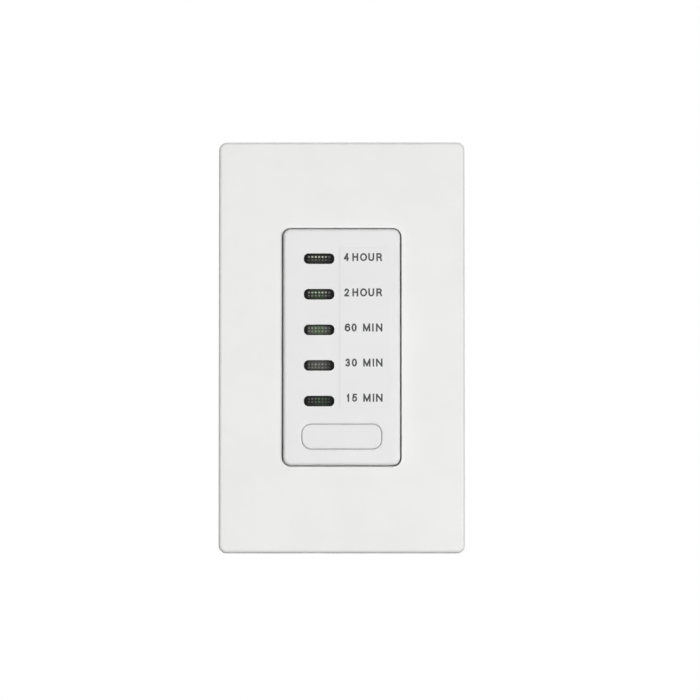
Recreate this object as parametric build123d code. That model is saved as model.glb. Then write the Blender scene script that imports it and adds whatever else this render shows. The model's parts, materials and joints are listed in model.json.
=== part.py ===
from build123d import *
import math
import os

# Timer light switch: a countdown timer with five period windows and one start button,
# on a steel strap that screws to a wall box, under a screwless clip-on wall plate.
# Sizes are in millimetres. Seen from the room, X points right, Z up and Y into the wall.
# The origin is the middle of the device on the surface of the wall.

# Fits that many pieces share
overrun = 1.0              # how far a cut runs past the face that it opens
close_fit = 0.05           # gap between pieces that only just miss each other
free_fit = 0.15            # gap round a screw or a strip that passes freely

# Heights of the device, stepped outwards and inwards from the wall box's screws
box_screw_spacing = 83.34
face_end_step = 8.37       # from a box screw in to the end of the face
plate_screw_step = 6.75    # from a box screw out to a sub-plate screw
yoke_end_step = 4.78       # from a sub-plate screw out to the strap's end
plate_end_step = 9.63      # from a sub-plate screw out to the wall plate's end

# Wall plate
plate_width = 69.4
plate_wall = 2.0
plate_corner = 2.15
plate_edge_round = 1.0
plate_opening_round = 0.3
plate_rear_room = 1.0      # air between the plate's front wall and the sub-plate
plate_face_gap = 0.4       # the dark line round the front cover
lug_length = 7.0
lug_reach = 1.2
lug_thickness = 0.8
side_lug_place_share = 0.26
end_lug_place_share = 0.26
pry_notch_width = 4.8
pry_notch_depth = 1.6
pry_notch_place_share = -0.121

# Sub-plate, which the wall plate clips onto
sub_plate_thickness = 1.8
sub_plate_play = 0.45
sub_plate_corner = 2.0
sub_plate_flange_gap = 0.3
box_head_clearance = 1.2

# Mounting yoke, the steel strap
yoke_wall_gap = 0.2
yoke_thickness = 1.2
yoke_end_inset = 4.0       # from the strap's wide middle in to its ends, on each side
yoke_corner = 1.5
yoke_side_margin = 0.5
yoke_end_margin = 1.2
yoke_opening_margin = 0.55
box_slot_length = 6.4
ear_depth = 8.6
ear_notch_length = 3.0
ear_notch_width = 1.0

# Ground tab and its screw
ground_tab_gap = 1.0
ground_tab_width = 7.0
ground_tab_length = 9.0
ground_screw_radius = 1.75
ground_screw_length = 6.0
ground_hex_radius = 3.6
ground_hex_height = 2.4

# Screws that hold the strap to the box, their retainers and the sub-plate's screws
box_screw_radius = 1.75
box_screw_neck_radius = 1.6
box_screw_length = 25.4
box_head_radius = 3.3
box_head_height = 2.0
retainer_size = 8.0
retainer_thickness = 0.8
retainer_corner = 1.0
plate_screw_radius = 1.75
plate_screw_length = 6.0
plate_screw_head_radius = 3.1
plate_screw_head_height = 1.0

# Front cover
face_width = 32.9
face_corner = 2.1
face_edge_round = 0.9
face_proud = 1.8           # how far the face stands out of the wall plate
face_wall = 1.6
flange_thickness = 1.8
flange_margin = 2.5
corner_boss_radius = 2.1
boss_sink = 0.15           # how far a boss runs into the wall beside it
board_boss_radius = 2.3
board_boss_place_shares = (0.33, -0.18)

# Period windows, their lenses and the printed label beside them
periods = ("4_hour", "2_hour", "60_min", "30_min", "15_min")
window_width = 8.6
window_height = 3.0
window_corner_share = 0.43
window_side_margin = 4.18  # from the cover's inner wall to the windows
window_boss_gap = 0.25     # from the top lens up to the corner bosses
button_window_distance = 10.0
lens_recess = 0.3
lens_flange_margin = 1.0
lens_flange_thickness = 1.0
label_gap = 1.44
label_side_margin = 3.05
label_top_margin = 3.2
label_bottom_margin = 1.9
label_thickness = 0.12

# Light baffle and control board
baffle_depth = 2.0
baffle_wall = 0.7
cell_margin = 0.5
control_board_thickness = 1.2
control_board_play = 0.4
board_notch_gap = 0.4
led_width = 3.0
led_height = 1.5
led_thickness = 1.1
chip_resistor_width = 1.6
chip_resistor_height = 0.8
chip_resistor_thickness = 0.5
chip_resistor_gap = 2.2
timer_chip_width = 7.5
timer_chip_height = 10.3
timer_chip_thickness = 1.6
timer_chip_pins = 10
timer_chip_pin_width = 0.4
timer_chip_pin_reach = 1.2
timer_chip_pin_thickness = 0.3
board_screw_radius = 0.9
board_screw_depth = 2.6
board_screw_head_radius = 1.8
board_screw_head_height = 1.1

# Start button, its return springs and the switch that it presses
button_height = 6.94
button_corner_share = 0.375
button_edge_round = 0.4
button_hole_round = 0.6    # the cover's edge, rounded where it meets the button
button_proud = 0.15
button_wall = 1.2
button_gap = 0.08
button_travel = 0.5
button_side_gap = 2.06     # from an ear to the cover's inner wall
button_boss_gap = 0.85     # from an ear down to the corner bosses
button_ear_reach = 1.6
button_ear_thickness = 0.8
button_ear_height = 3.0
button_stem_radius = 1.5
spring_radius = 1.5
spring_wire = 0.3
spring_side_gap = 0.6
tact_width = 4.5
tact_height = 1.2
tact_leg_width = 0.7
tact_leg_reach = 0.8
tact_leg_thickness = 0.3
tact_plunger_radius = 1.1
tact_plunger_rise = 0.6
tact_bore_depth = 1.0

# Link between the two boards
header_pins = 6
header_length = 15.24
header_width = 2.5
header_block_height = 2.5
header_pin_radius = 0.32
header_post_gap = 0.5
socket_bore_rest = 0.8     # socket floor left in front of the pin tips

# Power board and the leads that pass through it
board_standoff = 3.7
power_board_thickness = 1.6
power_board_play = 0.3
lead_radius = 0.35
lead_tail = 1.0
lead_sink = 0.5
component_gap = 1.0
relay_rear_room = 3.7      # from the relay, the tallest part, to the housing's rear wall

# Parts on the power board
film_width = 13.0
film_height = 7.0
film_depth = 12.0
film_corner = 0.6
film_lead_spacing = 10.0
can_radius = 4.0
can_depth = 12.0
can_groove_place = 1.6
can_groove_width = 0.8
can_groove_depth = 0.35
can_lead_spacing = 3.5
surge_radius = 5.0
surge_thickness = 3.6
surge_edge_round = 1.2
surge_standoff = 1.5
surge_lead_spacing = 5.0
bridge_width = 7.0
bridge_height = 7.0
bridge_depth = 4.0
bridge_corner = 0.5
bridge_lead_spacing = 4.6
fuse_radius = 3.6
fuse_depth = 7.5
fuse_lead_spacing = 5.0
resistor_radius = 1.7
resistor_length = 9.0
resistor_standoff = 0.6
resistor_lead_spacing = 12.0

# Relay
relay_width = 15.5
relay_length = 19.0
relay_height = 15.4
relay_base_thickness = 2.0
relay_cover_wall = 0.8
relay_play = 0.2
relay_end_room = 0.9
iron_thickness = 1.0
iron_width = 8.0
core_radius = 1.9
core_rivet_radius = 1.1
pole_radius = 3.0
pole_thickness = 0.6
bobbin_wall = 0.5
bobbin_flange_radius = 4.7
bobbin_flange_thickness = 0.8
bobbin_frame_gap = 0.5
winding_radius = 4.4
armature_gap = 0.5
armature_overhang = 1.0
contact_strip_width = 4.0
contact_strip_thickness = 0.3
contact_radius = 1.2
contact_height = 0.7
contact_side_gap = 0.7
relay_pin_radius = 0.5
relay_pin_side_margin = 2.2

# Wiring terminals: side of the housing and height above the middle
terminal_height = 12.0
pocket_depth = 4.2
pocket_height = 11.0
pocket_wall = 1.5
pocket_board_gap = 2.4
strip_thickness = 0.8
strip_width = 7.0
strip_length = 10.5
strip_inset = 0.6
strip_leg_width = 5.0
strip_leg_gap = 1.2
clamp_size = 7.0
clamp_thickness = 0.8
clamp_corner = 1.0
terminal_screw_radius = 1.75
terminal_head_radius = 3.4
terminal_head_height = 2.0

# Rear housing and its long screws
housing_side_room = 3.7    # from the front cover's bosses to the housing's side walls
housing_end_room = 1.25
housing_wall = 1.8
housing_corner = 2.0
housing_edge_round = 1.2
housing_post_radius = 4.0
housing_screw_radius = 1.4
housing_screw_grip = 7.4   # how deep the screws run into the front cover's bosses
housing_head_radius = 2.7
housing_head_height = 2.2
housing_head_recess = 0.4

# Screw slots, as parts of the head that carries them
recess_depth_share = 0.55
recess_length_share = 1.25
recess_width_share = 0.28

# Depths, from the wall's surface out to the face: a negative depth is in the room
yoke_back = -yoke_wall_gap
yoke_front = yoke_back - yoke_thickness
sub_plate_front = yoke_front - sub_plate_thickness
plate_inner = sub_plate_front - plate_rear_room
plate_front = plate_inner - plate_wall
flange_front = yoke_front - flange_thickness
face_front = plate_front - face_proud
face_inner = face_front + face_wall
lens_back = face_inner + lens_flange_thickness
control_board_front = lens_back + baffle_depth
control_board_back = control_board_front + control_board_thickness
retainer_back = yoke_back + retainer_thickness

# Depths behind the strap
power_board_front = yoke_back + board_standoff
power_board_back = power_board_front + power_board_thickness
housing_inner = power_board_back + relay_height + relay_rear_room
housing_back = housing_inner + housing_wall
header_joint = power_board_front - header_block_height

# Widths and heights that follow
face_height = box_screw_spacing - 2 * face_end_step
plate_screw_spacing = box_screw_spacing + 2 * plate_screw_step
yoke_height = plate_screw_spacing + 2 * yoke_end_step
plate_height = plate_screw_spacing + 2 * plate_end_step
face_inner_width = face_width - 2 * face_wall
face_inner_height = face_height - 2 * face_wall
flange_width = face_width + 2 * flange_margin
flange_height = face_height + 2 * flange_margin
boss_x = face_inner_width / 2 - corner_boss_radius + boss_sink
boss_z = face_inner_height / 2 - corner_boss_radius + boss_sink
board_boss_x = face_inner_width / 2 - board_boss_radius + boss_sink
board_boss_places = [(board_boss_x, share * face_height) for share in board_boss_place_shares]
corner_places = [(side * boss_x, end * boss_z) for side in (-1, 1) for end in (-1, 1)]
plate_inner_width = plate_width - 2 * plate_wall
plate_inner_height = plate_height - 2 * plate_wall
housing_inner_width = 2 * (boss_x + corner_boss_radius + housing_side_room)
housing_inner_height = 2 * (boss_z + corner_boss_radius + housing_end_room)
housing_width = housing_inner_width + 2 * housing_wall
housing_height = housing_inner_height + 2 * housing_wall
yoke_body_width = housing_width + 2 * yoke_side_margin
yoke_body_height = housing_height + 2 * yoke_end_margin
yoke_end_width = yoke_body_width - 2 * yoke_end_inset
power_board_height = housing_inner_height - 2 * power_board_play

# Rows of the face: the windows share the height between the top and the button
boss_inner_z = boss_z - corner_boss_radius
button_z = -boss_inner_z + button_boss_gap + button_ear_height / 2
window_top = boss_inner_z - window_boss_gap - lens_flange_margin - window_height / 2
window_bottom = button_z + button_window_distance
window_pitch = (window_top - window_bottom) / (len(periods) - 1)
window_corner = window_corner_share * window_height
window_x = -face_inner_width / 2 + window_side_margin + window_width / 2
window_rows = [window_top - index * window_pitch for index in range(len(periods))]

# Button sizes and depths
button_width = face_inner_width - 2 * (button_ear_reach + button_side_gap)
button_corner = button_corner_share * button_height
button_front = face_front - button_proud
button_ear_front = face_inner + close_fit
button_back = button_ear_front + button_ear_thickness
tact_front = control_board_front - tact_height
plunger_front = tact_front - tact_plunger_rise
spring_x = button_width / 2 - button_wall - spring_side_gap - spring_radius

# Terminal places
pocket_floor = housing_width / 2 - pocket_depth
pocket_inner = pocket_floor - pocket_wall
pocket_front = power_board_back + pocket_board_gap
strip_front = pocket_front + strip_inset
strip_leg_outer = pocket_inner - strip_leg_gap
strip_leg_inner = strip_leg_outer - strip_thickness
strip_face = pocket_floor + strip_thickness
clamp_face = strip_face + clamp_thickness
terminal_screw_depth = strip_front + (strip_thickness + strip_length) / 2
terminals = {
    "line": (-1, terminal_height),
    "load": (-1, -terminal_height),
    "neutral": (1, terminal_height),
}

# Places on the power board: a left column beside the terminals and a right one
left_edge = -strip_leg_inner + component_gap / 2
relay_x = left_edge + relay_width / 2
relay_top = -component_gap / 2
relay_z = relay_top - relay_length / 2
relay_bottom = relay_top - relay_length
film_x = left_edge + film_width / 2
film_z = relay_top + component_gap + film_height / 2
resistor_x = left_edge + lead_radius + resistor_lead_spacing / 2
resistor_z = film_z + film_height / 2 + component_gap + resistor_radius
fuse_x = left_edge + fuse_radius
fuse_z = resistor_z + resistor_radius + component_gap + fuse_radius
right_edge = relay_x + relay_width / 2 + component_gap
can_x = right_edge + can_radius
can_z = relay_bottom + can_radius
bridge_x = right_edge + bridge_width / 2
bridge_z = can_z + can_radius + component_gap + bridge_height / 2
surge_x = right_edge + surge_thickness / 2
surge_z = bridge_z + bridge_height / 2 + component_gap + surge_radius
header_pin_spacing = header_length / header_pins
header_z = boss_z - housing_post_radius - header_post_gap - header_width / 2

# Depths and places inside the relay
relay_floor = power_board_back + relay_base_thickness
relay_back = power_board_back + relay_height
contact_strip_back = relay_back - relay_cover_wall - relay_end_room
armature_back = contact_strip_back - contact_strip_thickness
armature_front = armature_back - iron_thickness
pole_face = armature_front - armature_gap
bobbin_front = relay_floor + iron_thickness
bobbin_back = pole_face - pole_thickness
frame_outer = relay_bottom + relay_cover_wall + relay_play
hinge_z = frame_outer + iron_thickness / 2
coil_z = frame_outer + iron_thickness + bobbin_frame_gap + bobbin_flange_radius
armature_end = coil_z + pole_radius + armature_overhang
fixed_strip_outer = relay_top - relay_cover_wall - relay_play
fixed_strip_inner = fixed_strip_outer - contact_strip_thickness
contact_z = fixed_strip_inner - contact_side_gap - contact_radius
armature_angle = math.atan((armature_gap - close_fit) / (coil_z + pole_radius - hinge_z))
contact_drop = (contact_z + contact_radius - hinge_z) * math.tan(armature_angle) + close_fit
moving_contact_front = armature_back - contact_height
fixed_contact_back = moving_contact_front - contact_drop
fixed_strip_back = fixed_contact_back - contact_height
relay_pin_x = relay_width / 2 - relay_pin_side_margin
relay_pin_places = [
    (relay_x - relay_pin_x, coil_z),
    (relay_x + relay_pin_x, coil_z),
    (relay_x, hinge_z),
]
fixed_pin_place = (relay_x, (fixed_strip_outer + fixed_strip_inner) / 2)


def pair(x, z, spacing):
    """Two places side by side, a spacing apart."""
    return [(x - spacing / 2, z), (x + spacing / 2, z)]


def stack(x, z, spacing):
    """Two places one above the other, a spacing apart."""
    return [(x, z - spacing / 2), (x, z + spacing / 2)]


film_leads = pair(film_x, film_z, film_lead_spacing)
can_leads = pair(can_x, can_z, can_lead_spacing)
surge_leads = stack(surge_x, surge_z, surge_lead_spacing)
fuse_leads = pair(fuse_x, fuse_z, fuse_lead_spacing)
resistor_leads = pair(resistor_x, resistor_z, resistor_lead_spacing)
bridge_leads = [
    place
    for x, z in stack(bridge_x, bridge_z, bridge_lead_spacing)
    for place in pair(x, z, bridge_lead_spacing)
]
header_places = [
    ((index - (header_pins - 1) / 2) * header_pin_spacing, header_z) for index in range(header_pins)
]


# Shapes that many pieces are made of

def facing(depth):
    """The plane that looks at the front of the device, at one depth."""
    return Plane(origin=(0, depth, 0), x_dir=(1, 0, 0), z_dir=(0, -1, 0))


def slab(outline, front, back):
    """A flat solid with an outline seen from the front, between two depths."""
    return extrude(facing(back) * outline, amount=back - front)


def block(width, height, front, back, x=0, z=0):
    """A box with its middle at x, z."""
    return slab(Pos(x, z) * Rectangle(width, height), front, back)


def rounded(width, height, corner, front, back, x=0, z=0):
    """A box whose four corners are rounded, seen from the front."""
    return slab(Pos(x, z) * RectangleRounded(width, height, corner), front, back)


def rod(radius, front, back, x=0, z=0):
    """A round bar along Y."""
    return slab(Pos(x, z) * Circle(radius), front, back)


def brick(x_ends, y_ends, z_ends):
    """A box between two places along each axis, in either order."""
    ends = (x_ends, y_ends, z_ends)
    size = [abs(last - first) for first, last in ends]
    middle = [(last + first) / 2 for first, last in ends]
    return Pos(*middle) * Box(*size)


def cross_rod(radius, start, end, y, z):
    """A round bar along X, between two places in either order."""
    plane = Plane.YZ.offset(min(start, end))
    return extrude(plane * (Pos(y, z) * Circle(radius)), amount=abs(end - start))


def round_front(shape, radius):
    """Round the outer edges of a shape's front face."""
    return fillet(shape.faces().sort_by(Axis.Y)[0].outer_wire().edges(), radius)


def screw(head_radius, head_height, shank_radius, seat, tip, x=0, z=0):
    """A screw along Y whose head sits on a seat, with a cross recess in the head."""
    forward = seat < tip
    top = seat - head_height if forward else seat + head_height
    floor = top + recess_depth_share * (seat - top)
    past = top - overrun if forward else top + overrun
    body = rod(head_radius, min(seat, top), max(seat, top), x, z)
    body += rod(shank_radius, min(seat, tip), max(seat, tip), x, z)
    length = recess_length_share * head_radius
    width = recess_width_share * head_radius
    body -= block(length, width, min(floor, past), max(floor, past), x, z)
    return body - block(width, length, min(floor, past), max(floor, past), x, z)


def side_screw(head, head_radius, shank_radius, seat, top, tip, y, z):
    """A screw along X made from its head's solid, with a driver slot across the head."""
    body = head + cross_rod(shank_radius, seat, tip, y, z)
    floor = top + recess_depth_share * (seat - top)
    past = top + math.copysign(overrun, top - seat)
    half_width = recess_width_share * head_radius / 2
    half_length = head_radius + overrun
    slot = brick((floor, past), (y - half_width, y + half_width), (z - half_length, z + half_length))
    return body - slot


def leads(places, back):
    """The wires of a component, from behind the board through it to their tails."""
    return [rod(lead_radius, power_board_front - lead_tail, back, x, z) for x, z in places]


# Covers and strap

def wall_plate():
    """The clip-on plate: a shallow tray, open to the wall, with lugs on its inner walls."""
    tray = rounded(plate_width, plate_height, plate_corner, plate_front, 0)
    tray = round_front(tray, plate_edge_round)
    tray -= block(plate_inner_width, plate_inner_height, plate_inner, overrun)
    tray -= rounded(
        face_width + 2 * plate_face_gap,
        face_height + 2 * plate_face_gap,
        face_corner + plate_face_gap,
        plate_front - overrun,
        plate_inner + overrun,
    )
    opening_edges = tray.faces().sort_by(Axis.Y)[0].inner_wires()[0].edges()
    tray = fillet(opening_edges, plate_opening_round)
    lug_front = yoke_front + close_fit
    lug_back = lug_front + lug_thickness
    lug_width = lug_reach + plate_wall / 2
    lug_middle = lug_width / 2 - lug_reach
    for side in (-1, 1):
        for end in (-1, 1):
            side_x = side * (plate_inner_width / 2 + lug_middle)
            side_z = end * side_lug_place_share * plate_height
            tray += block(lug_width, lug_length, lug_front, lug_back, side_x, side_z)
            end_x = side * end_lug_place_share * plate_width
            end_z = end * (plate_inner_height / 2 + lug_middle)
            tray += block(lug_length, lug_width, lug_front, lug_back, end_x, end_z)
    notch_x = pry_notch_place_share * plate_width
    notch_z = -plate_height / 2
    return tray - block(pry_notch_width, 3 * plate_wall, -pry_notch_depth, overrun, notch_x, notch_z)


def sub_plate():
    """The plate that screws to the strap and carries the wall plate's lugs."""
    body = rounded(
        plate_inner_width - 2 * sub_plate_play,
        plate_inner_height - 2 * sub_plate_play,
        sub_plate_corner,
        sub_plate_front,
        yoke_front,
    )
    front = sub_plate_front - overrun
    back = yoke_front + overrun
    body -= rounded(
        flange_width + 2 * sub_plate_flange_gap,
        flange_height + 2 * sub_plate_flange_gap,
        face_corner + sub_plate_flange_gap,
        front,
        back,
    )
    seat = sub_plate_front + plate_screw_head_height
    for end in (-1, 1):
        body -= rod(box_head_radius + box_head_clearance, front, back, 0, end * box_screw_spacing / 2)
        screw_z = end * plate_screw_spacing / 2
        body -= rod(plate_screw_radius + free_fit, front, back, 0, screw_z)
        body -= rod(plate_screw_head_radius + free_fit, front, seat, 0, screw_z)
    return body


def sub_plate_screws():
    """Two screws that hold the sub-plate to the strap's outer holes."""
    seat = sub_plate_front + plate_screw_head_height
    tip = seat + plate_screw_length
    return [
        screw(plate_screw_head_radius, plate_screw_head_height, plate_screw_radius,
              seat, tip, 0, end * plate_screw_spacing / 2)
        for end in (-1, 1)
    ]


def mounting_yoke():
    """The steel strap, with its slots, plaster ears and bent ground tab."""
    outline = Rectangle(yoke_body_width, yoke_body_height) + Rectangle(yoke_end_width, yoke_height)
    outline = fillet(outline.vertices(), yoke_corner)
    outline -= Rectangle(
        face_inner_width + 2 * yoke_opening_margin,
        face_inner_height + 2 * yoke_opening_margin,
    )
    slot_height = 2 * (box_screw_radius + free_fit)
    for end in (-1, 1):
        outline -= Pos(0, end * box_screw_spacing / 2) * SlotOverall(box_slot_length, slot_height)
        outline -= Pos(0, end * plate_screw_spacing / 2) * Circle(plate_screw_radius + close_fit)
        for side in (-1, 1):
            notch_place = (side * yoke_end_width / 2, end * (yoke_height / 2 - ear_depth))
            outline -= Pos(*notch_place) * Rectangle(ear_notch_length, ear_notch_width)
    strap = slab(outline, yoke_front, yoke_back)
    tab_z = -yoke_body_height / 2 - ground_tab_gap - ground_tab_width / 2
    tab_x = (yoke_end_width - yoke_thickness) / 2
    tab_back = yoke_back + ground_tab_length
    strap += block(yoke_thickness, ground_tab_width, yoke_front, tab_back, tab_x, tab_z)
    hole_y = yoke_back + ground_tab_length / 2
    tab_inner = yoke_end_width / 2 - yoke_thickness
    hole_radius = ground_screw_radius + close_fit
    return strap - cross_rod(
        hole_radius, tab_inner - overrun, yoke_end_width / 2 + overrun, hole_y, tab_z
    )


def ground_screw():
    """The hexagon-headed screw on the strap's ground tab."""
    y = yoke_back + ground_tab_length / 2
    z = -yoke_body_height / 2 - ground_tab_gap - ground_tab_width / 2
    seat = yoke_end_width / 2
    top = seat + ground_hex_height
    hexagon = Pos(y, z) * RegularPolygon(ground_hex_radius, 6)
    head = extrude(Plane.YZ.offset(seat) * hexagon, amount=ground_hex_height)
    tip = seat - ground_screw_length
    return side_screw(head, ground_hex_radius, ground_screw_radius, seat, top, tip, y, z)


def box_screws():
    """Two long screws that hold the strap to the wall box, each with a plain neck."""
    neck_end = retainer_back + close_fit
    tip = yoke_front + box_screw_length
    screws = []
    for end in (-1, 1):
        z = end * box_screw_spacing / 2
        body = screw(box_head_radius, box_head_height, box_screw_neck_radius, yoke_front, neck_end, 0, z)
        screws.append(body + rod(box_screw_radius, neck_end, tip, 0, z))
    return screws


def screw_retainers():
    """Two fibre squares that keep the box screws in the strap."""
    retainers = []
    for end in (-1, 1):
        z = end * box_screw_spacing / 2
        square = rounded(retainer_size, retainer_size, retainer_corner, yoke_back, retainer_back, 0, z)
        hole_radius = box_screw_neck_radius + close_fit
        retainers.append(square - rod(hole_radius, yoke_back - overrun, retainer_back + overrun, 0, z))
    return retainers


# Front cover and what it holds

def front_cover():
    """The face: a box open behind, with a flange, screw bosses, windows and a button hole."""
    body = rounded(face_width, face_height, face_corner, face_front, yoke_front)
    body = round_front(body, face_edge_round)
    body += rounded(flange_width, flange_height, face_corner, flange_front, yoke_front)
    body -= block(face_inner_width, face_inner_height, face_inner, yoke_front + overrun)
    for x, z in corner_places:
        body += rod(corner_boss_radius, face_inner - boss_sink, power_board_front, x, z)
    for x, z in board_boss_places:
        body += rod(board_boss_radius, face_inner - boss_sink, control_board_front, x, z)
    screw_hole = housing_screw_radius + close_fit
    screw_end = power_board_front - housing_screw_grip - close_fit
    for x, z in corner_places:
        body -= rod(screw_hole, screw_end, power_board_front + overrun, x, z)
    board_hole = board_screw_radius + close_fit
    board_hole_end = control_board_front - board_screw_depth - close_fit
    for x, z in board_boss_places:
        body -= rod(board_hole, board_hole_end, control_board_front + overrun, x, z)
    front = face_front - overrun
    back = face_inner + overrun
    for z in window_rows:
        body -= rounded(window_width, window_height, window_corner, front, back, window_x, z)
    body -= rounded(
        button_width + 2 * button_gap,
        button_height + 2 * button_gap,
        button_corner + button_gap,
        front,
        back,
        0,
        button_z,
    )
    openings = body.faces().sort_by(Axis.Y)[0].inner_wires()
    return fillet(openings.sort_by(SortBy.LENGTH)[-1].edges(), button_hole_round)


def legend_label():
    """The thin printed strip beside the windows."""
    left = window_x + window_width / 2 + label_gap
    width = face_width / 2 - label_side_margin - left
    top = window_rows[0] + label_top_margin
    bottom = window_rows[-1] - label_bottom_margin
    x = left + width / 2
    return block(width, top - bottom, face_front - label_thickness, face_front, x, (top + bottom) / 2)


def lens(z):
    """One dark window lens: a pad that fills its window and a flange behind the face."""
    pad = rounded(
        window_width - 2 * close_fit,
        window_height - 2 * close_fit,
        window_corner - close_fit,
        face_front + lens_recess,
        face_inner,
        window_x,
        z,
    )
    return pad + block(
        window_width + 2 * lens_flange_margin,
        window_height + 2 * lens_flange_margin,
        face_inner,
        lens_back,
        window_x,
        z,
    )


def light_baffle():
    """The black grid that keeps each light in its own window."""
    cell_width = window_width + 2 * cell_margin
    cell_height = window_height + 2 * cell_margin
    width = cell_width + 2 * baffle_wall
    height = window_rows[0] - window_rows[-1] + cell_height + 2 * baffle_wall
    middle = (window_rows[0] + window_rows[-1]) / 2
    body = block(width, height, lens_back, control_board_front, window_x, middle)
    front = lens_back - overrun
    back = control_board_front + overrun
    for z in window_rows:
        body -= block(cell_width, cell_height, front, back, window_x, z)
    return body


def start_button():
    """The long push cap: a shell with two ears behind the face and a stem in the middle."""
    cap = rounded(button_width, button_height, button_corner, button_front, button_back, 0, button_z)
    cap = round_front(cap, button_edge_round)
    ears_width = button_width + 2 * button_ear_reach
    cap += block(ears_width, button_ear_height, button_ear_front, button_back, 0, button_z)
    inner_front = button_front + button_wall
    cap -= rounded(
        button_width - 2 * button_wall,
        button_height - 2 * button_wall,
        button_corner - button_wall,
        inner_front,
        button_back + overrun,
        0,
        button_z,
    )
    stem_front = inner_front - button_wall / 2
    return cap + rod(button_stem_radius, stem_front, plunger_front - close_fit, 0, button_z)


def button_springs():
    """Two return springs between the cap and the control board, drawn as plain sleeves."""
    front = button_front + button_wall + close_fit
    back = control_board_front - close_fit
    sleeves = []
    for side in (-1, 1):
        x = side * spring_x
        sleeve = rod(spring_radius, front, back, x, button_z)
        bore_radius = spring_radius - spring_wire
        sleeves.append(sleeve - rod(bore_radius, front - overrun, back + overrun, x, button_z))
    return sleeves


def tact_switch_body():
    """The small switch behind the button, with four flat legs and a bore for its plunger."""
    body = block(tact_width, tact_width, tact_front, control_board_front, 0, button_z)
    leg_front = control_board_front - tact_leg_thickness
    leg_z = tact_width / 2 - tact_leg_width
    for end in (-1, 1):
        body += block(tact_width + 2 * tact_leg_reach, tact_leg_width, leg_front,
                      control_board_front, 0, button_z + end * leg_z)
    bore_end = tact_front + tact_bore_depth
    bore_radius = tact_plunger_radius + close_fit
    return body - rod(bore_radius, tact_front - overrun, bore_end, 0, button_z)


def tact_switch_plunger():
    """The plunger that the button's stem pushes in."""
    back = tact_front + tact_bore_depth - button_travel - close_fit
    return rod(tact_plunger_radius, plunger_front, back, 0, button_z)


# Control board

def control_board():
    """The board behind the face, notched round the corner bosses."""
    width = face_inner_width - 2 * control_board_play
    height = face_inner_height - 2 * control_board_play
    outline = Rectangle(width, height)
    notch = 2 * (corner_boss_radius + board_notch_gap)
    for x, z in corner_places:
        outline -= Pos(x, z) * Rectangle(notch, notch)
        beyond = (x + math.copysign(notch / 2, x), z + math.copysign(notch / 2, z))
        outline -= Pos(*beyond) * Rectangle(notch, notch)
    for x, z in board_boss_places:
        outline -= Pos(x, z) * Circle(board_screw_radius + free_fit)
    return slab(outline, control_board_front, control_board_back)


def board_screws():
    """Two small screws that hold the control board to its bosses."""
    tip = control_board_front - board_screw_depth
    return [
        screw(board_screw_head_radius, board_screw_head_height, board_screw_radius,
              control_board_back, tip, x, z)
        for x, z in board_boss_places
    ]


def indicator_leds():
    """Five lights, one behind each window."""
    front = control_board_front - led_thickness
    return [block(led_width, led_height, front, control_board_front, window_x, z) for z in window_rows]


def chip_resistors():
    """One flat resistor beside each light."""
    x = window_x + window_width / 2 + cell_margin + baffle_wall + chip_resistor_gap
    front = control_board_front - chip_resistor_thickness
    return [
        block(chip_resistor_width, chip_resistor_height, front, control_board_front, x, z)
        for z in window_rows
    ]


def timer_chip():
    """The controller on the back of the control board, with flat legs on two sides."""
    z = (window_rows[0] + window_rows[-1]) / 2
    back = control_board_back + timer_chip_thickness
    chip = block(timer_chip_width, timer_chip_height, control_board_back, back, 0, z)
    leg_back = control_board_back + timer_chip_pin_thickness
    leg_width = timer_chip_width + 2 * timer_chip_pin_reach
    pitch = timer_chip_height / timer_chip_pins
    for index in range(timer_chip_pins):
        leg_z = z + (index - (timer_chip_pins - 1) / 2) * pitch
        chip += block(leg_width, timer_chip_pin_width, control_board_back, leg_back, 0, leg_z)
    return chip


def header_socket():
    """The socket on the control board that takes the pins of the power board."""
    body = block(header_length, header_width, control_board_back, header_joint, 0, header_z)
    bore_front = control_board_back + socket_bore_rest
    for x, z in header_places:
        body -= rod(header_pin_radius + free_fit, bore_front, header_joint + overrun, x, z)
    return body


# Power board and its parts

def power_board():
    """The board behind the strap, drilled for its screws, terminals and leads."""
    width = housing_inner_width - 2 * power_board_play
    outline = Rectangle(width, power_board_height)
    for x, z in corner_places:
        outline -= Pos(x, z) * Circle(housing_screw_radius + free_fit)
    leg_x = (strip_leg_outer + strip_leg_inner) / 2
    leg_slot = Rectangle(strip_thickness + 2 * free_fit, strip_leg_width + 2 * free_fit)
    for side, z in terminals.values():
        outline -= Pos(side * leg_x, z) * leg_slot
    lead_places = film_leads + can_leads + surge_leads + bridge_leads + fuse_leads + resistor_leads
    for x, z in lead_places:
        outline -= Pos(x, z) * Circle(lead_radius + close_fit)
    for x, z in header_places:
        outline -= Pos(x, z) * Circle(header_pin_radius + close_fit)
    for x, z in relay_pin_places + [fixed_pin_place]:
        outline -= Pos(x, z) * Circle(relay_pin_radius + close_fit)
    return slab(outline, power_board_front, power_board_back)


def header_block():
    """The plastic block that holds the link pins on the power board."""
    body = block(header_length, header_width, header_joint, power_board_front, 0, header_z)
    for x, z in header_places:
        body -= rod(header_pin_radius + close_fit, header_joint - overrun, power_board_front + overrun, x, z)
    return body


def header_pin_row():
    """The link pins, from behind the power board into the socket."""
    front = control_board_back + socket_bore_rest + close_fit
    back = power_board_back + lead_tail
    return [rod(header_pin_radius, front, back, x, z) for x, z in header_places]


def with_leads(body, places):
    """Join a component's body to its leads."""
    for lead in leads(places, power_board_back + lead_sink):
        body += lead
    return body


def film_capacitor():
    """The boxed capacitor that feeds the low-voltage supply."""
    back = power_board_back + film_depth
    body = rounded(film_width, film_height, film_corner, power_board_back, back, film_x, film_z)
    return with_leads(body, film_leads)


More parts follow.
